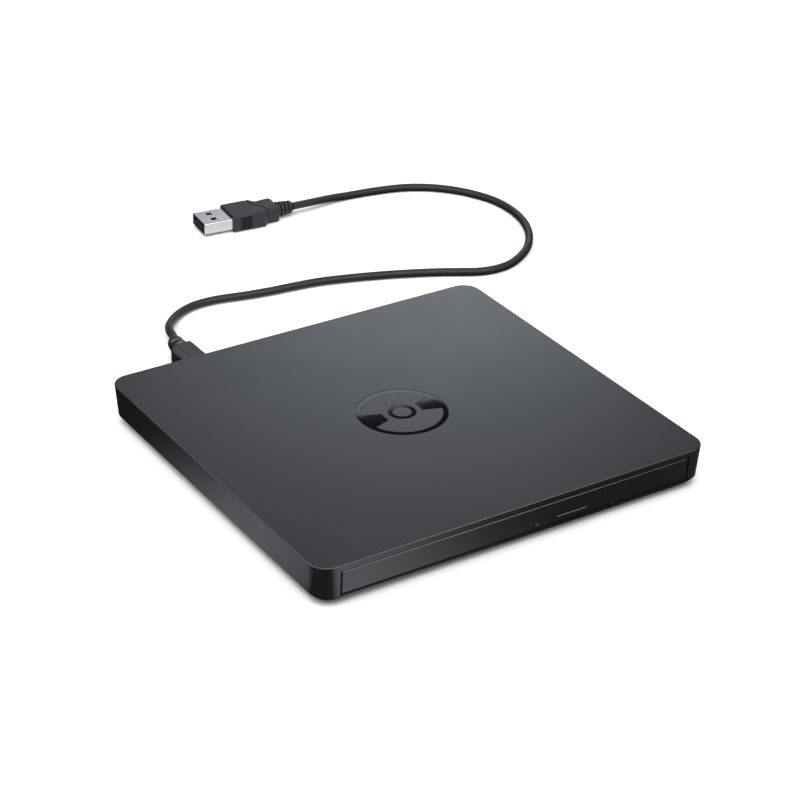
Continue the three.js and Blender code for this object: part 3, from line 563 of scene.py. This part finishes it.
def add_light():
    scene = bpy.context.scene
    scene.view_settings.view_transform = "Standard"
    world = bpy.data.worlds.new("studio")
    world.use_nodes = True
    tree = world.node_tree
    sky = tree.nodes["Background"]
    sky.inputs["Color"].default_value = (1, 1, 1, 1)
    place = add(tree, "ShaderNodeTexCoord")
    parts = add(tree, "ShaderNodeSeparateXYZ")
    dome = add(tree, "ShaderNodeValToRGB")
    steps = dome.color_ramp.elements
    for element, (height, shine) in zip([steps[0], steps[1], steps.new(0.4), steps.new(0.56)], SKY_STEPS):
        element.position = height
        element.color = (shine, shine, shine, 1)
    tree.links.new(place.outputs["Generated"], parts.inputs["Vector"])
    tree.links.new(parts.outputs["Z"], dome.inputs["Fac"])
    tree.links.new(dome.outputs["Color"], sky.inputs["Color"])
    sky.inputs["Strength"].default_value = SKY_STRENGTH
    scene.world = world
    key_light()
    panel = (PANEL_LONG, 0, 0.132)
    reflection_card("back_card", (PANEL_LEFT, 0.45, -0.05), panel, (0, 0, PANEL_TALL), (120, 60),
                    back_glow, (0.91, 0.985, 1.09))
    reflection_card("dark_card", (PANEL_LEFT, 0.45, PANEL_TALL - 0.05), panel, (0, 0, 0.7), (1, 1),
                    lambda u, v: 0.0)
    edge_band()
    reflection_card("plug_card", (-0.03, 0.10, -0.002), (0.11, 0, 0), (0, 0.077, 0), (1, 20), plug_glow)
    reflection_card("left_card", (-0.37, -0.09, -0.002), (0.31, 0, 0), (0, 0.5, 0), (1, 250), left_glow,
                    (0.93, 0.985, 1.07))
    reflection_card("front_card", (-0.12, -0.45, -0.002), (0.5, 0, 0), (0, 0.39, 0), (250, 1),
                    front_glow, (0.95, 0.99, 1.05))


# ---------------------------------------------------------------- cable
CORD_DIAMETER = 3.0
# The cord's route, as in the CAD part, in metres.
CORD_ROUTE = [
    (-0.0326, 0.0970, 0.00528), (-0.0311, 0.1011, 0.0050), (-0.0299, 0.1056, 0.0044),
    (-0.0279, 0.1104, 0.0036), (-0.0246, 0.1152, 0.0026), (-0.0202, 0.1197, 0.0019),
    (-0.0150, 0.1230, 0.0016), (-0.0094, 0.1247, 0.00152), (-0.0036, 0.1248, 0.00152),
    (0.0010, 0.1242, 0.00152), (0.0099, 0.1222, 0.00152), (0.0191, 0.1207, 0.00152),
    (0.0289, 0.1197, 0.00152), (0.0383, 0.1184, 0.00152), (0.0472, 0.1160, 0.00152),
    (0.0559, 0.1132, 0.00152), (0.0645, 0.1100, 0.00152), (0.0728, 0.1065, 0.00152),
    (0.0810, 0.1026, 0.00152), (0.0882, 0.0986, 0.00152), (0.0942, 0.0954, 0.00152),
    (0.1000, 0.0939, 0.00152), (0.1060, 0.0942, 0.00152), (0.1118, 0.0962, 0.00152),
    (0.1218, 0.1030, 0.00152), (0.1306, 0.1144, 0.00152), (0.1359, 0.1286, 0.00152),
    (0.1362, 0.1445, 0.00152), (0.1311, 0.1576, 0.00152), (0.1226, 0.1681, 0.00152),
    (0.1118, 0.1749, 0.00152), (0.0986, 0.1783, 0.00152), (0.0882, 0.1796, 0.0016),
    (0.0795, 0.1797, 0.0022), (0.0715, 0.1786, 0.0030), (0.0619, 0.1786, 0.0033),
]
HOST_MOUTH = Vector((22.5, 182.5, 3.3))
HOST_TAIL = Vector((61.5, 178.64, 3.3))


def curve_points(points, per_span=8):
    """Centripetal Catmull-Rom curve through the points, ends included."""
    points = [Vector(p) for p in points]
    points = [points[0] * 2 - points[1]] + points + [points[-1] * 2 - points[-2]]
    smooth = []
    for i in range(1, len(points) - 2):
        p0, p1, p2, p3 = points[i - 1:i + 3]
        t1 = (p1 - p0).length ** 0.5
        t2 = t1 + (p2 - p1).length ** 0.5
        t3 = t2 + (p3 - p2).length ** 0.5
        for k in range(per_span):
            t = t1 + (t2 - t1) * k / per_span
            a1 = p0 * ((t1 - t) / t1) + p1 * (t / t1)
            a2 = p1 * ((t2 - t) / (t2 - t1)) + p2 * ((t - t1) / (t2 - t1))
            a3 = p2 * ((t3 - t) / (t3 - t2)) + p3 * ((t - t2) / (t3 - t2))
            b1 = a1 * ((t2 - t) / t2) + a2 * (t / t2)
            b2 = a2 * ((t3 - t) / (t3 - t1)) + a3 * ((t - t1) / (t3 - t1))
            smooth.append(b1 * ((t2 - t) / (t2 - t1)) + b2 * ((t - t1) / (t2 - t1)))
    smooth.append(points[-2])
    return smooth


def tube_rings(centres, radii, n=28):
    """Rings square to a line of points, with a radius at each."""
    rings = []
    for i, centre in enumerate(centres):
        ahead = centres[min(i + 1, len(centres) - 1)] - centres[max(i - 1, 0)]
        side = ahead.cross(Vector((0, 0, 1))).normalized()
        over = side.cross(ahead).normalized()
        rings.append([tuple(centre + radii[i] * (side * math.cos(a) + over * math.sin(a)))
                      for a in (2 * math.pi * k / n for k in range(n))])
    return rings


def relief(name, points, radii, rings, neck):
    """Tapered strain relief: rounded rings parted by grooves down to a neck, which it also starts with."""
    centres = curve_points(points, 40)
    count = len(centres)
    sizes = []
    for i in range(count):
        t = i / (count - 1)
        radius = radii[0] + (radii[1] - radii[0]) * t
        phase = (t * rings) % 1.0
        depth = max(0.0, abs(phase - 0.42) - 0.30) / 0.28
        groove = min(1.0, 1.4 * depth)
        sizes.append(radius + (neck - radius) * groove)
    sizes[0] = neck
    obj = mesh_object(name, *loft(tube_rings(centres, sizes)), sharp=50)
    obj.data.flip_normals()
    return obj


def make_cord(materials):
    data = bpy.data.curves.new("usb_cord", "CURVE")
    data.dimensions = "3D"
    data.bevel_depth = CORD_DIAMETER / 2 * MM
    data.bevel_resolution = 6
    data.use_fill_caps = True
    points = curve_points(CORD_ROUTE)
    spline = data.splines.new("POLY")
    spline.points.add(len(points) - 1)
    for spot, p in zip(spline.points, points):
        spot.co = (*p, 1)
    spline.use_smooth = True
    cord = bpy.data.objects.new("usb_cord", data)
    bpy.context.scene.collection.objects.link(cord)
    data.materials.append(materials["cord"])
    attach(cord, "cable")
    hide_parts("cord")


def rear_plug(materials):
    """Moulding of the plug in the rear socket, with ribs cut into each side, and its strain relief."""
    low, high = box_mm("device_plug_body")
    x, z = PORT_X, PORT_Z
    section = [(x - 4.0, z - 3.5), (x + 4.0, z - 3.5), (x + 4.45, z - 3.3), (x + 4.6, z - 2.9),
               (x + 4.6, z + 1.3), (x + 4.45, z + 1.75), (x + 3.0, z + 3.3), (x + 2.55, z + 3.5),
               (x - 2.55, z + 3.5), (x - 3.0, z + 3.3), (x - 4.45, z + 1.75), (x - 4.6, z + 1.3),
               (x - 4.6, z - 2.9), (x - 4.45, z - 3.3)]

    def ring(y, inset):
        k = 1 - inset / 4.0
        return [(x + (px - x) * k, y, z + (pz - z) * k) for px, pz in section]

    steps = [(low[1], 0.35), (low[1] + 0.1, 0.12), (low[1] + 0.35, 0.0), (high[1] - 0.7, 0.0),
             (high[1] - 0.25, 0.15), (high[1], 0.55)]
    body = mesh_object("rear_plug_body", *loft([ring(y, inset) for y, inset in steps]), sharp=35)
    body.data.flip_normals()
    ribs = []
    for side in (-1, 1):
        for k in range(5):
            y = low[1] + 6.5 + k * 1.6
            depth = sorted((x + side * 4.35, x + side * 5.2))
            ribs.append(slab("rib", depth, (y, y + 0.7), (z - 2.2, z + 0.9)))
    carve(body, ribs, sharp=35)
    put(body, materials["rear"], "cable", "plug_grey", "device_plug_body")
    run = [(x, high[1] + 0.3, z), (-33.55, 92.9, 5.45), (-32.75, 96.6, 5.3)]
    tail = relief("rear_strain_relief", run, (3.4, 2.6), 2.0, 2.2)
    put(tail, materials["rear"], "cable", "plug_grey", "device_relief")
    return body, tail


def host_matrix():
    """Lays a piece drawn with its mouth at the origin, facing +X, where the USB-A plug lies."""
    run = HOST_MOUTH - HOST_TAIL
    return Matrix.Translation(HOST_MOUTH * MM) @ Matrix.Rotation(math.atan2(run.y, run.x), 4, "Z")


HOST_BACK = -11.8                 # front face of the moulding, behind the mouth
HOST_LENGTH = 20.3


def host_shell(materials):
    """Folded metal mouth of the USB-A plug: thin walls, two latch windows above and below, and a seam."""
    def lengthwise(p):
        return (p[2], p[0], p[1])

    outer = soft_prism("host_shell", 6.0, 2.25, 0.55, (HOST_BACK + 0.05, 0), top=0.12, bottom=0, n=6,
                       place=lengthwise)
    inner = soft_prism("hollow", 5.68, 1.93, 0.3, (HOST_BACK + 0.6, 1), top=0, bottom=0, n=6,
                       place=lengthwise)
    tools = [inner]
    for y in (-2.5, 2.5):
        tools.append(slab("window", (-6.4, -4.2), (y - 1.05, y + 1.05), (1.0, 4)))
        tools.append(slab("window", (-6.4, -4.2), (y - 1.05, y + 1.05), (-4, -1.8)))
    tools.append(slab("seam", (HOST_BACK + 0.8, 1), (-0.05, 0.05), (-4, -2.1)))
    carve(outer, tools, sharp=35)
    put(moved(outer, host_matrix()), materials["nickel"], "cable", "plug_metal", "host_plug_shell")
    return outer


def host_tongue(materials):
    tongue = soft_prism("host_tongue", 5.4, 5.25, 0.3, (-1.85, -0.15), top=0.12, bottom=0.12, n=3, cx=-5.95)
    tongue.data.materials.append(materials["chip"])
    strips = []
    for k, y in enumerate((-3.5, -1.25, 1.25, 3.5)):
        reach = -1.2 if k in (0, 3) else -2.2
        strip = soft_prism("strip", (reach + 11.0) / 2, 0.5, 0.15, (-0.2, -0.06), top=0.05, bottom=0, n=3,
                           cx=(reach - 11.0) / 2, cy=y)
        strip.data.materials.append(materials["gold"])
        strips.append(strip)
    tongue = merge("host_tongue", [tongue] + strips)
    put(moved(tongue, host_matrix()), None, "cable", "tray_black", "host_plug_tongue")
    return tongue


def host_outline(inset, height):
    """Plan outline of the moulding: wide at the mouth, waisted on a slant, then a narrower tail."""
    front, back = HOST_BACK - inset, HOST_BACK - HOST_LENGTH + inset
    sides = []
    for side, waist, dip in ((1, -25.0, 0.0), (-1, -23.0, 0.5)):
        line = []
        wide, neck = 6.9 - inset, 4.8 - inset
        for k in range(4):
            a = math.pi / 2 * (1 - k / 3)
            line.append((front - 0.5 * (1 - math.sin(a)), wide - 0.5 * (1 - math.cos(a))))
        for k in range(10):
            t = k / 9
            ease = t * t * (3 - 2 * t)
            line.append((waist - 2.4 * t, wide + (neck - dip - wide) * ease))
        line.append((back + 2.2, neck))
        for k in range(4):
            a = math.pi / 2 * k / 3
            line.append((back + 0.7 * (1 - math.sin(a)), neck - 0.7 * (1 - math.cos(a))))
        sides.append([(x, side * y) for x, y in line])
    return level(sides[0] + sides[1][::-1], height)


def slant_groove(top):
    """V-shaped groove that runs across the moulding in a shallow S, nearer the mouth on the far side."""
    rings = []
    for k in range(25):
        y = -7.6 + 15.2 * k / 24
        x = -24.8 - 2.4 * math.sin(max(-1.0, min(1.0, y / 6.5)) * math.pi / 2)
        half = 0.55
        rings.append([(x + half, y, top + 0.2), (x, y, top - 0.9), (x - half, y, top + 0.2)])
    return mesh_object("groove", *loft(rings))


def host_body(materials):
    """Overmould of the USB-A plug: round edges, a slanted groove, and a ribbed grip sunk into each side."""
    half = 3.3
    grip = []
    rings = [host_outline(inset, -half + depth) for inset, depth in edge_steps(0.7, 4)]
    rings += [host_outline(inset, half - depth) for inset, depth in reversed(edge_steps(0.7, 4))]
    body = mesh_object("usb_plug_overmould", *loft(rings), sharp=35)
    under = moved(slant_groove(half), Matrix.Rotation(math.pi, 4, "X"))
    tools = [slant_groove(half), under]
    for side in (-1, 1):
        tools.append(slab("panel", (-19.6, -14.9), sorted((side * 6.3, side * 7.5)), (-2.5, 2.5)))
        for k in range(4):
            x = -15.05 - k * 1.15
            grip.append(slab("rib", (x - 0.85, x), sorted((side * 6.2, side * 6.75)), (-2.4, 2.4)))
    carve(body, tools, sharp=35)
    body.data.materials.append(materials["plug"])
    for rib in grip:
        rib.data.materials.append(materials["grip"])
    body = merge("usb_plug_overmould", [body] + grip)
    put(moved(body, host_matrix()), None, "cable", "plug_grey", "host_plug_body")
    return body


def host_relief(materials):
    length = (HOST_TAIL - HOST_MOUTH).length
    start = HOST_BACK - HOST_LENGTH - 0.3
    middle = (start - length) / 2
    run = [(start, 0, 0), (middle, 0, 0), (-length, 0, 0)]
    tail = relief("host_strain_relief", run, (3.0, 2.5), 4.0, 1.8)
    put(moved(tail, host_matrix()), materials["plug"], "cable", "plug_grey", "host_relief")
    return tail


def make_cable(materials):
    pieces = [*rear_plug(materials), host_shell(materials), host_tongue(materials), host_body(materials),
              host_relief(materials), NODES["device_plug_shell"]]
    make_cord(materials)


# ---------------------------------------------------------------- case
FOOT_AT = (58, 55)                # the feet and the screws lie at these places, and mirrored
SCREW_AT = (66.8, 58)


def lean(p):
    """Leans the walls in towards their lower edge."""
    t = DRAFT * (TOP_Z - p[2]) / (TOP_Z - WALL_FOOT_Z)
    return (p[0] * (1 - t / HALF_X), p[1] * (1 - t / HALF_Y), p[2])


EMBLEM = {"ring": (13.4, 15.1), "hub": (3.2, 4.6), "glint": (6.8, 14.0), "turns": (0, 180), "span": 38,
          "depth": 0.35, "gap": 0.1}


def ring_tool(name, inner, outer, z, n=96):
    return turned(name, [(inner, z[0]), (outer, z[0]), (outer, z[1]), (inner, z[1])], n=n)


def glint_tool(turn, grow, z):
    middle = math.radians(turn)
    half = math.radians(EMBLEM["span"] / 2) + grow / 9
    inner, outer = EMBLEM["glint"][0] - grow, EMBLEM["glint"][1] + grow
    steps = [middle - half + 2 * half * k / 16 for k in range(17)]
    outline = [(outer * math.cos(a), outer * math.sin(a)) for a in steps]
    outline += [(inner * math.cos(a), inner * math.sin(a)) for a in reversed(steps)]
    return mesh_object("glint", *loft([level(outline, h) for h in z]))


def case_top(materials):
    """Top cover: a drafted shell with a rounded top edge, open below and at the drawer, with the port."""
    rings = [level(rounded(HALF_X, HALF_Y, CORNER_R, 20), 1.0)]
    for inset, depth in reversed(edge_steps(0.42, 4)):
        rings.append(level(rounded(HALF_X - inset, HALF_Y - inset, CORNER_R - inset, 20), TOP_Z - depth))
    cover = mesh_object("case_top", *loft([[lean(p) for p in ring] for ring in rings]))
    inner = rounded(HALF_X - WALL, HALF_Y - WALL, CORNER_R - WALL, 12)
    inside = [level(inner, h) for h in (0, TOP_Z - ROOF)]
    tools = [mesh_object("hollow", *loft([[lean(p) for p in ring] for ring in inside])),
             slab("below", (-100, 100), (-100, 100), (-1, WALL_FOOT_Z)),
             slab("drawer_opening", (-64.4, 64.4), (-100, -HALF_Y + 4), (0, 11.95)),
             prism_y("port", 4.1, 1.5, 0.7, (HALF_Y - 4, HALF_Y + 2), 0, 0, 6, PORT_X, PORT_Z)]
    z = (TOP_Z - EMBLEM["depth"], TOP_Z + 1)
    g = EMBLEM["gap"]
    tools.append(ring_tool("ring", EMBLEM["ring"][0] - g, EMBLEM["ring"][1] + g, z))
    tools.append(ring_tool("hub", EMBLEM["hub"][0] - g, EMBLEM["hub"][1] + g, z, 48))
    tools += [glint_tool(turn, g, z) for turn in EMBLEM["turns"]]
    carve(cover, tools)
    bosses = [turned("boss", [(0, 2.6), (2.3, 2.6), (2.3, 12.9), (0, 12.9)], 24,
                     (sx * SCREW_AT[0], sy * SCREW_AT[1]))
              for sx in (-1, 1) for sy in (-1, 1)]
    carve(cover, bosses, "UNION")
    put(cover, materials["case"], "case", "case_black", "top_cover")


def emblem(materials):
    """Generic disc sign, inlaid flush: the disc's rim with two reflections, and its centre hole."""
    z = (TOP_Z - EMBLEM["depth"], TOP_Z - 0.1)
    rim = ring_tool("emblem_rim", *EMBLEM["ring"], z)
    carve(rim, [glint_tool(turn, 0, z) for turn in EMBLEM["turns"]], "UNION")
    soften(rim, 0.08)
    put(rim, materials["gloss"], "case", "gloss_black", "emblem_ring")
    hub = soften(ring_tool("emblem_centre", *EMBLEM["hub"], z, 48), 0.08)
    put(hub, materials["gloss"], "case", "gloss_black", "emblem_hub")


def case_base(materials):
    """Bottom cover: a shallow pan that slopes in under the walls, with seats for feet and screws."""
    half_x, half_y = HALF_X - DRAFT - 0.1, HALF_Y - DRAFT - 0.1
    profile = [(1.0, 2.2), (1.06, 1.85), (1.25, 1.5), (2.6, 0.15), (3.0, 0.0)]
    rings = [level(rounded(half_x - inset, half_y - inset, CORNER_R - inset * 0.6, 16), z)
             for z, inset in profile]
    pan = mesh_object("case_base", *loft(rings))
    tools = [slab("cavity", (-66, 66), (-65.4, 64), (2.3, 6))]
    for sx in (-1, 1):
        for sy in (-1, 1):
            tools.append(turned("foot_seat", [(0, 0), (4.8, 0), (4.8, 1.4), (0, 1.4)], 40,
                                (sx * FOOT_AT[0], sy * FOOT_AT[1])))
            tools.append(turned("screw_seat", [(0, 0), (2.1, 0), (2.1, 1.7), (1.25, 1.7), (1.25, 4), (0, 4)],
                                28, (sx * SCREW_AT[0], sy * SCREW_AT[1])))
    for k in range(-7, 8):
        tools.append(soft_prism("vent", 1.0, 9.0, 0.95, (0.5, 3), 0, 0, 6, cx=k * 4.5, cy=20))
    carve(pan, tools)
    strip = soft_prism("strip", 64.1, 0.75, 0.15, (2.9, 3.3), top=0.1, bottom=0, n=2, cy=-66.95)
    carve(pan, [strip], "UNION")
    put(pan, materials["base"], "case", "base_black", "bottom_cover")


def feet_and_screws(materials):
    corners = {"front_left": (-1, -1), "front_right": (1, -1), "rear_left": (-1, 1), "rear_right": (1, 1)}
    for name, (sx, sy) in corners.items():
        foot = turned(f"rubber_foot_{name}", [(0, 0.0), (3.5, 0.0), (3.95, 0.06), (4.3, 0.3), (4.45, 0.65),
                                              (4.5, 1.35), (0, 1.35)], 48, (sx * FOOT_AT[0], sy * FOOT_AT[1]))
        put(foot, materials["rubber"], "case", "rubber", f"foot_{name}")
        x, y = sx * SCREW_AT[0], sy * SCREW_AT[1]
        screw = turned(f"cross_screw_{name}", [(0, 1.2), (1.2, 1.2), (1.7, 1.3), (1.9, 1.5), (1.9, 1.68),
                                               (1.0, 1.68), (1.0, 7.2), (0.7, 7.6), (0, 7.6)], 32, (x, y))
        carve(screw, [slab("slot", (x - 1.15, x + 1.15), (y - 0.2, y + 0.2), (1, 1.45)),
                      slab("slot", (x - 0.2, x + 0.2), (y - 1.15, y + 1.15), (1, 1.45))])
        put(screw, materials["steel"], "case", "steel", f"case_screw_{name}")


# ---------------------------------------------------------------- drawer front
def front_lean(p):
    """Leans the drawer front's face back towards its lower edge, like the walls beside it."""
    if p[1] > -HALF_Y + 1.5:
        return p
    return (p[0], p[1] + DRAFT * (TOP_Z - p[2]) / (TOP_Z - WALL_FOOT_Z), p[2])


def countersink(hole):
    """Cone that eases the mouth of a round hole in the drawer front."""
    x, z, r = hole
    rings = []
    for y, radius in ((-69.2, r + 1.1), (-67.8, r - 0.1)):
        rings.append([(x + radius * math.cos(a), y, z - radius * math.sin(a))
                      for a in (2 * math.pi * k / 24 for k in range(24))])
    return mesh_object("countersink", *loft(rings))


def drawer_front(materials):
    half_x = (BEZEL_HIGH[0] - BEZEL_LOW[0]) / 2
    mid_z = (BEZEL_HIGH[2] + BEZEL_LOW[2]) / 2
    half_z = (BEZEL_HIGH[2] - BEZEL_LOW[2]) / 2
    front, back = -HALF_Y + 0.05, BEZEL_HIGH[1]
    bezel = soft_prism("drawer_front", half_x, half_z, 0.6, (0, back - front), top=0.15, bottom=0.45, n=6,
                       cy=mid_z, place=lambda p: front_lean(along_y(p, front)))
    bezel.data.flip_normals()
    mid_x = (BUTTON_LOW[0] + BUTTON_HIGH[0]) / 2
    button_z = (BUTTON_LOW[2] + BUTTON_HIGH[2]) / 2
    button_half = (BUTTON_HIGH[0] - BUTTON_LOW[0]) / 2, (BUTTON_HIGH[2] - BUTTON_LOW[2]) / 2
    gap = 0.16
    pin_x, pin_z, pin_r = PIN_HOLE
    tools = [prism_y("button_hole", button_half[0] + gap, button_half[1] + gap, 0.5, (-72, -60), 0, 0, 6,
                     mid_x, button_z),
             barrel("lamp_hole", (LAMP_X, -72, LAMP_Z), (LAMP_X, -60, LAMP_Z), 0.7),
             barrel("pin_hole", (pin_x, -72, pin_z), (pin_x, -60, pin_z), pin_r),
             countersink(PIN_HOLE)]
    carve(bezel, tools)
    put(bezel, materials["bezel"], "tray", "bezel_black", "tray_bezel")
    button = prism_y("eject_button_cap", *button_half, 0.4, (-68.55, -64.6), 0.35, 0.1, 6, mid_x, button_z)
    stem = slab("stem", (17.5, 20.5), (-65, -62.4), (BUTTON_LOW[2] + 0.2, BUTTON_HIGH[2] - 0.2))
    carve(button, [stem], "UNION")
    put(button, materials["bezel"], "button", "bezel_black", "eject_button")


# ---------------------------------------------------------------- drawer and drive
def on_path(obj):
    """Carries a piece drawn about the spindle, with the pickup's path along +X, to its place."""
    turn = Matrix.Rotation(PATH_TURN, 4, "Z")
    return moved(obj, Matrix.Translation((0, DISC_Y * MM, 0)) @ turn)


def disc_tray(materials):
    """Drawer moulding: stepped recess for large and small discs, the pickup's window and finger notches."""
    _, high = box_mm("disc_tray")
    tray = soft_prism("disc_tray_moulding", 58.2, 60.05, 2.0, (4.4, 10.4), top=0.4, bottom=0.2, cy=-5.05)
    small_disc = [(0, 8.35), (40.4, 8.35), (40.9, 8.8), (40.9, 12), (0, 12)]
    tools = [turned("recess", [(0, 8.7), (60.6, 8.7), (61.2, 9.1), (61.2, 12), (0, 12)], 160, (0, DISC_Y)),
             turned("small_recess", small_disc, 120, (0, DISC_Y)),
             slab("underside", (-54, 54), (-58, 52), (3, 7.7)),
             turned("spindle_hole", [(0, 3), (15.6, 3), (15.6, 11), (0, 11)], 64, (0, DISC_Y)),
             on_path(soft_prism("window", 24, 11, 8, (4, 11), 0, 0, 12, cx=38)),
             slab("button_pocket", (12, 26), (-66, -57), (3, 6.8)),
             barrel("lamp_pocket", (LAMP_X, -66, LAMP_Z), (LAMP_X, -57, LAMP_Z), 1.0),
             soft_prism("finger_notch", 20, 12, 5, (6.7, 12), 0, 0, 8, cy=52),
             slab("lock_path", (43.9, 48.1), (51, 56), (3, 7.3))]
    carve(tray, tools)
    tongues = [slab("tongue", sorted((side * 57.7, side * high[0])), (-64, 54), (6.5, 7.1))
               for side in (-1, 1)]
    posts = [on_path(turned("post", [(0, 4.5), (1, 4.5), (1, 8), (0, 8)], 20, at))
             for at in ((-12, 16), (-12, -16), (48, 22.6))]
    carve(tray, tongues + posts, "UNION")
    put(tray, materials["tray"], "tray", "tray_black", "disc_tray")


def turntable(materials):
    """Spindle's turntable: a rubber ring that grips the disc, and a hub with three slots for its jaws."""
    profile = [(0, 5.6), (1.2, 5.6), (1.2, 7.3), (13.2, 7.3), (13.9, 7.4), (14.2, 7.7), (14.2, 8.9),
               (14.0, 9.05), (13.6, 9.05), (12.2, 8.8), (8.2, 8.8), (7.5, 8.85), (7.3, 9.1), (7.3, 10.1),
               (7.0, 10.5), (6.5, 10.7), (2.3, 10.7), (1.9, 10.4), (0, 10.4)]
    table = turned("turntable_hub", profile, 96)
    slots = []
    for k in range(3):
        slot = slab("slot", (4.1, 9.1), (-1.6, 1.6), (8.95, 13))
        slots.append(moved(slot, Matrix.Rotation(2 * math.pi * k / 3, 4, "Z")))
    carve(table, slots)
    table.data.materials.append(materials["tray"])
    pad = turned("pad", [(12.5, 8.85), (13.55, 9.0), (13.5, 9.1), (12.6, 9.1)], 96)
    pad.data.materials.append(materials["rubber"])
    table = merge("turntable_hub", [table, pad])
    put(on_path(table), None, "spindle", "tray_black", "turntable")


def objective(materials):
    """Objective lens: a domed aspheric lens in its seat."""
    dome = [(2.3 * math.cos(a), 7.6 + 0.7 * math.sin(a)) for a in (math.pi / 2 * k / 8 for k in range(9))]
    profile = [(0, 7.05), (2.3, 7.05)] + dome[:-1] + [(0, 8.3)]
    lens = turned("objective_lens_dome", profile, 48, (24, 0))
    put(on_path(lens), materials["lens"], "lens", "lens_glass", "objective_lens")


def lead_screw(materials):
    """Feed screw with a cut helical thread."""
    n, length, pitch = 20, 43.0, 3.0
    axis_v, axis_z = -22.2, 6.2
    count = int(length / pitch * 12)
    rings = []
    for i in range(count + 1):
        u = 5.0 + length * i / count
        ring = []
        for k in range(n):
            a = 2 * math.pi * k / n
            crest = 0.5 + 0.5 * math.cos(2 * math.pi * (u - 5.0) / pitch - a)
            r = 0.78 + 0.2 * crest ** 2
            ring.append((u, axis_v + r * math.cos(a), axis_z + r * math.sin(a)))
        rings.append(ring)
    ends = [[(u, axis_v + 0.6 * math.cos(a), axis_z + 0.6 * math.sin(a))
             for a in (2 * math.pi * k / n for k in range(n))] for u in (2.6, 4.99, 48.01, 50.2)]
    screw = mesh_object("threaded_feed_screw", *loft(ends[:2] + rings + ends[2:]), sharp=40)
    put(on_path(screw), materials["steel"], "feed_screw", "steel", "lead_screw")


CAD_FINISH = {
    "steel": ["usb_socket_shell", "drive_base", "drive_lid", "lock_post", "rail_channel_left",
              "rail_channel_right", "lock_pivot", "traverse_frame", "guide_rod_inner", "guide_rod_outer",
              "eject_solenoid"],
    "alloy": ["tray_under_cover", "pickup_sled", "spindle_motor", "feed_motor"],
    "circuit": ["bridge_board", "drive_board"],
    "chip": ["bridge_chip"],
    "tray": ["usb_socket_tongue", "sata_connector", "button_switch", "lens_holder"],
    "nylon": ["eject_pusher", "slide_rail_left", "slide_rail_right", "lock_lever", "chuck_jaw_1",
              "chuck_jaw_2", "chuck_jaw_3"],
    "rubber": ["damper_1", "damper_2", "damper_3"],
    "flex": ["flex_cable"],
    "lamp": ["lamp_lens"],
    "nickel": ["device_plug_shell"],
}


def finish_cad_nodes(materials):
    for key, names in CAD_FINISH.items():
        for name in names:
            mesh = NODES[name].data
            if mesh.materials:
                mesh.materials[0] = materials[key]
            else:
                mesh.materials.append(materials[key])


# ---------------------------------------------------------------- the object
def main():
    add_camera()
    materials = make_materials()
    make_cable(materials)
    add_floor()
    add_light()
    case_top(materials)
    emblem(materials)
    case_base(materials)
    feet_and_screws(materials)
    drawer_front(materials)
    disc_tray(materials)
    turntable(materials)
    objective(materials)
    lead_screw(materials)
    finish_cad_nodes(materials)


main()
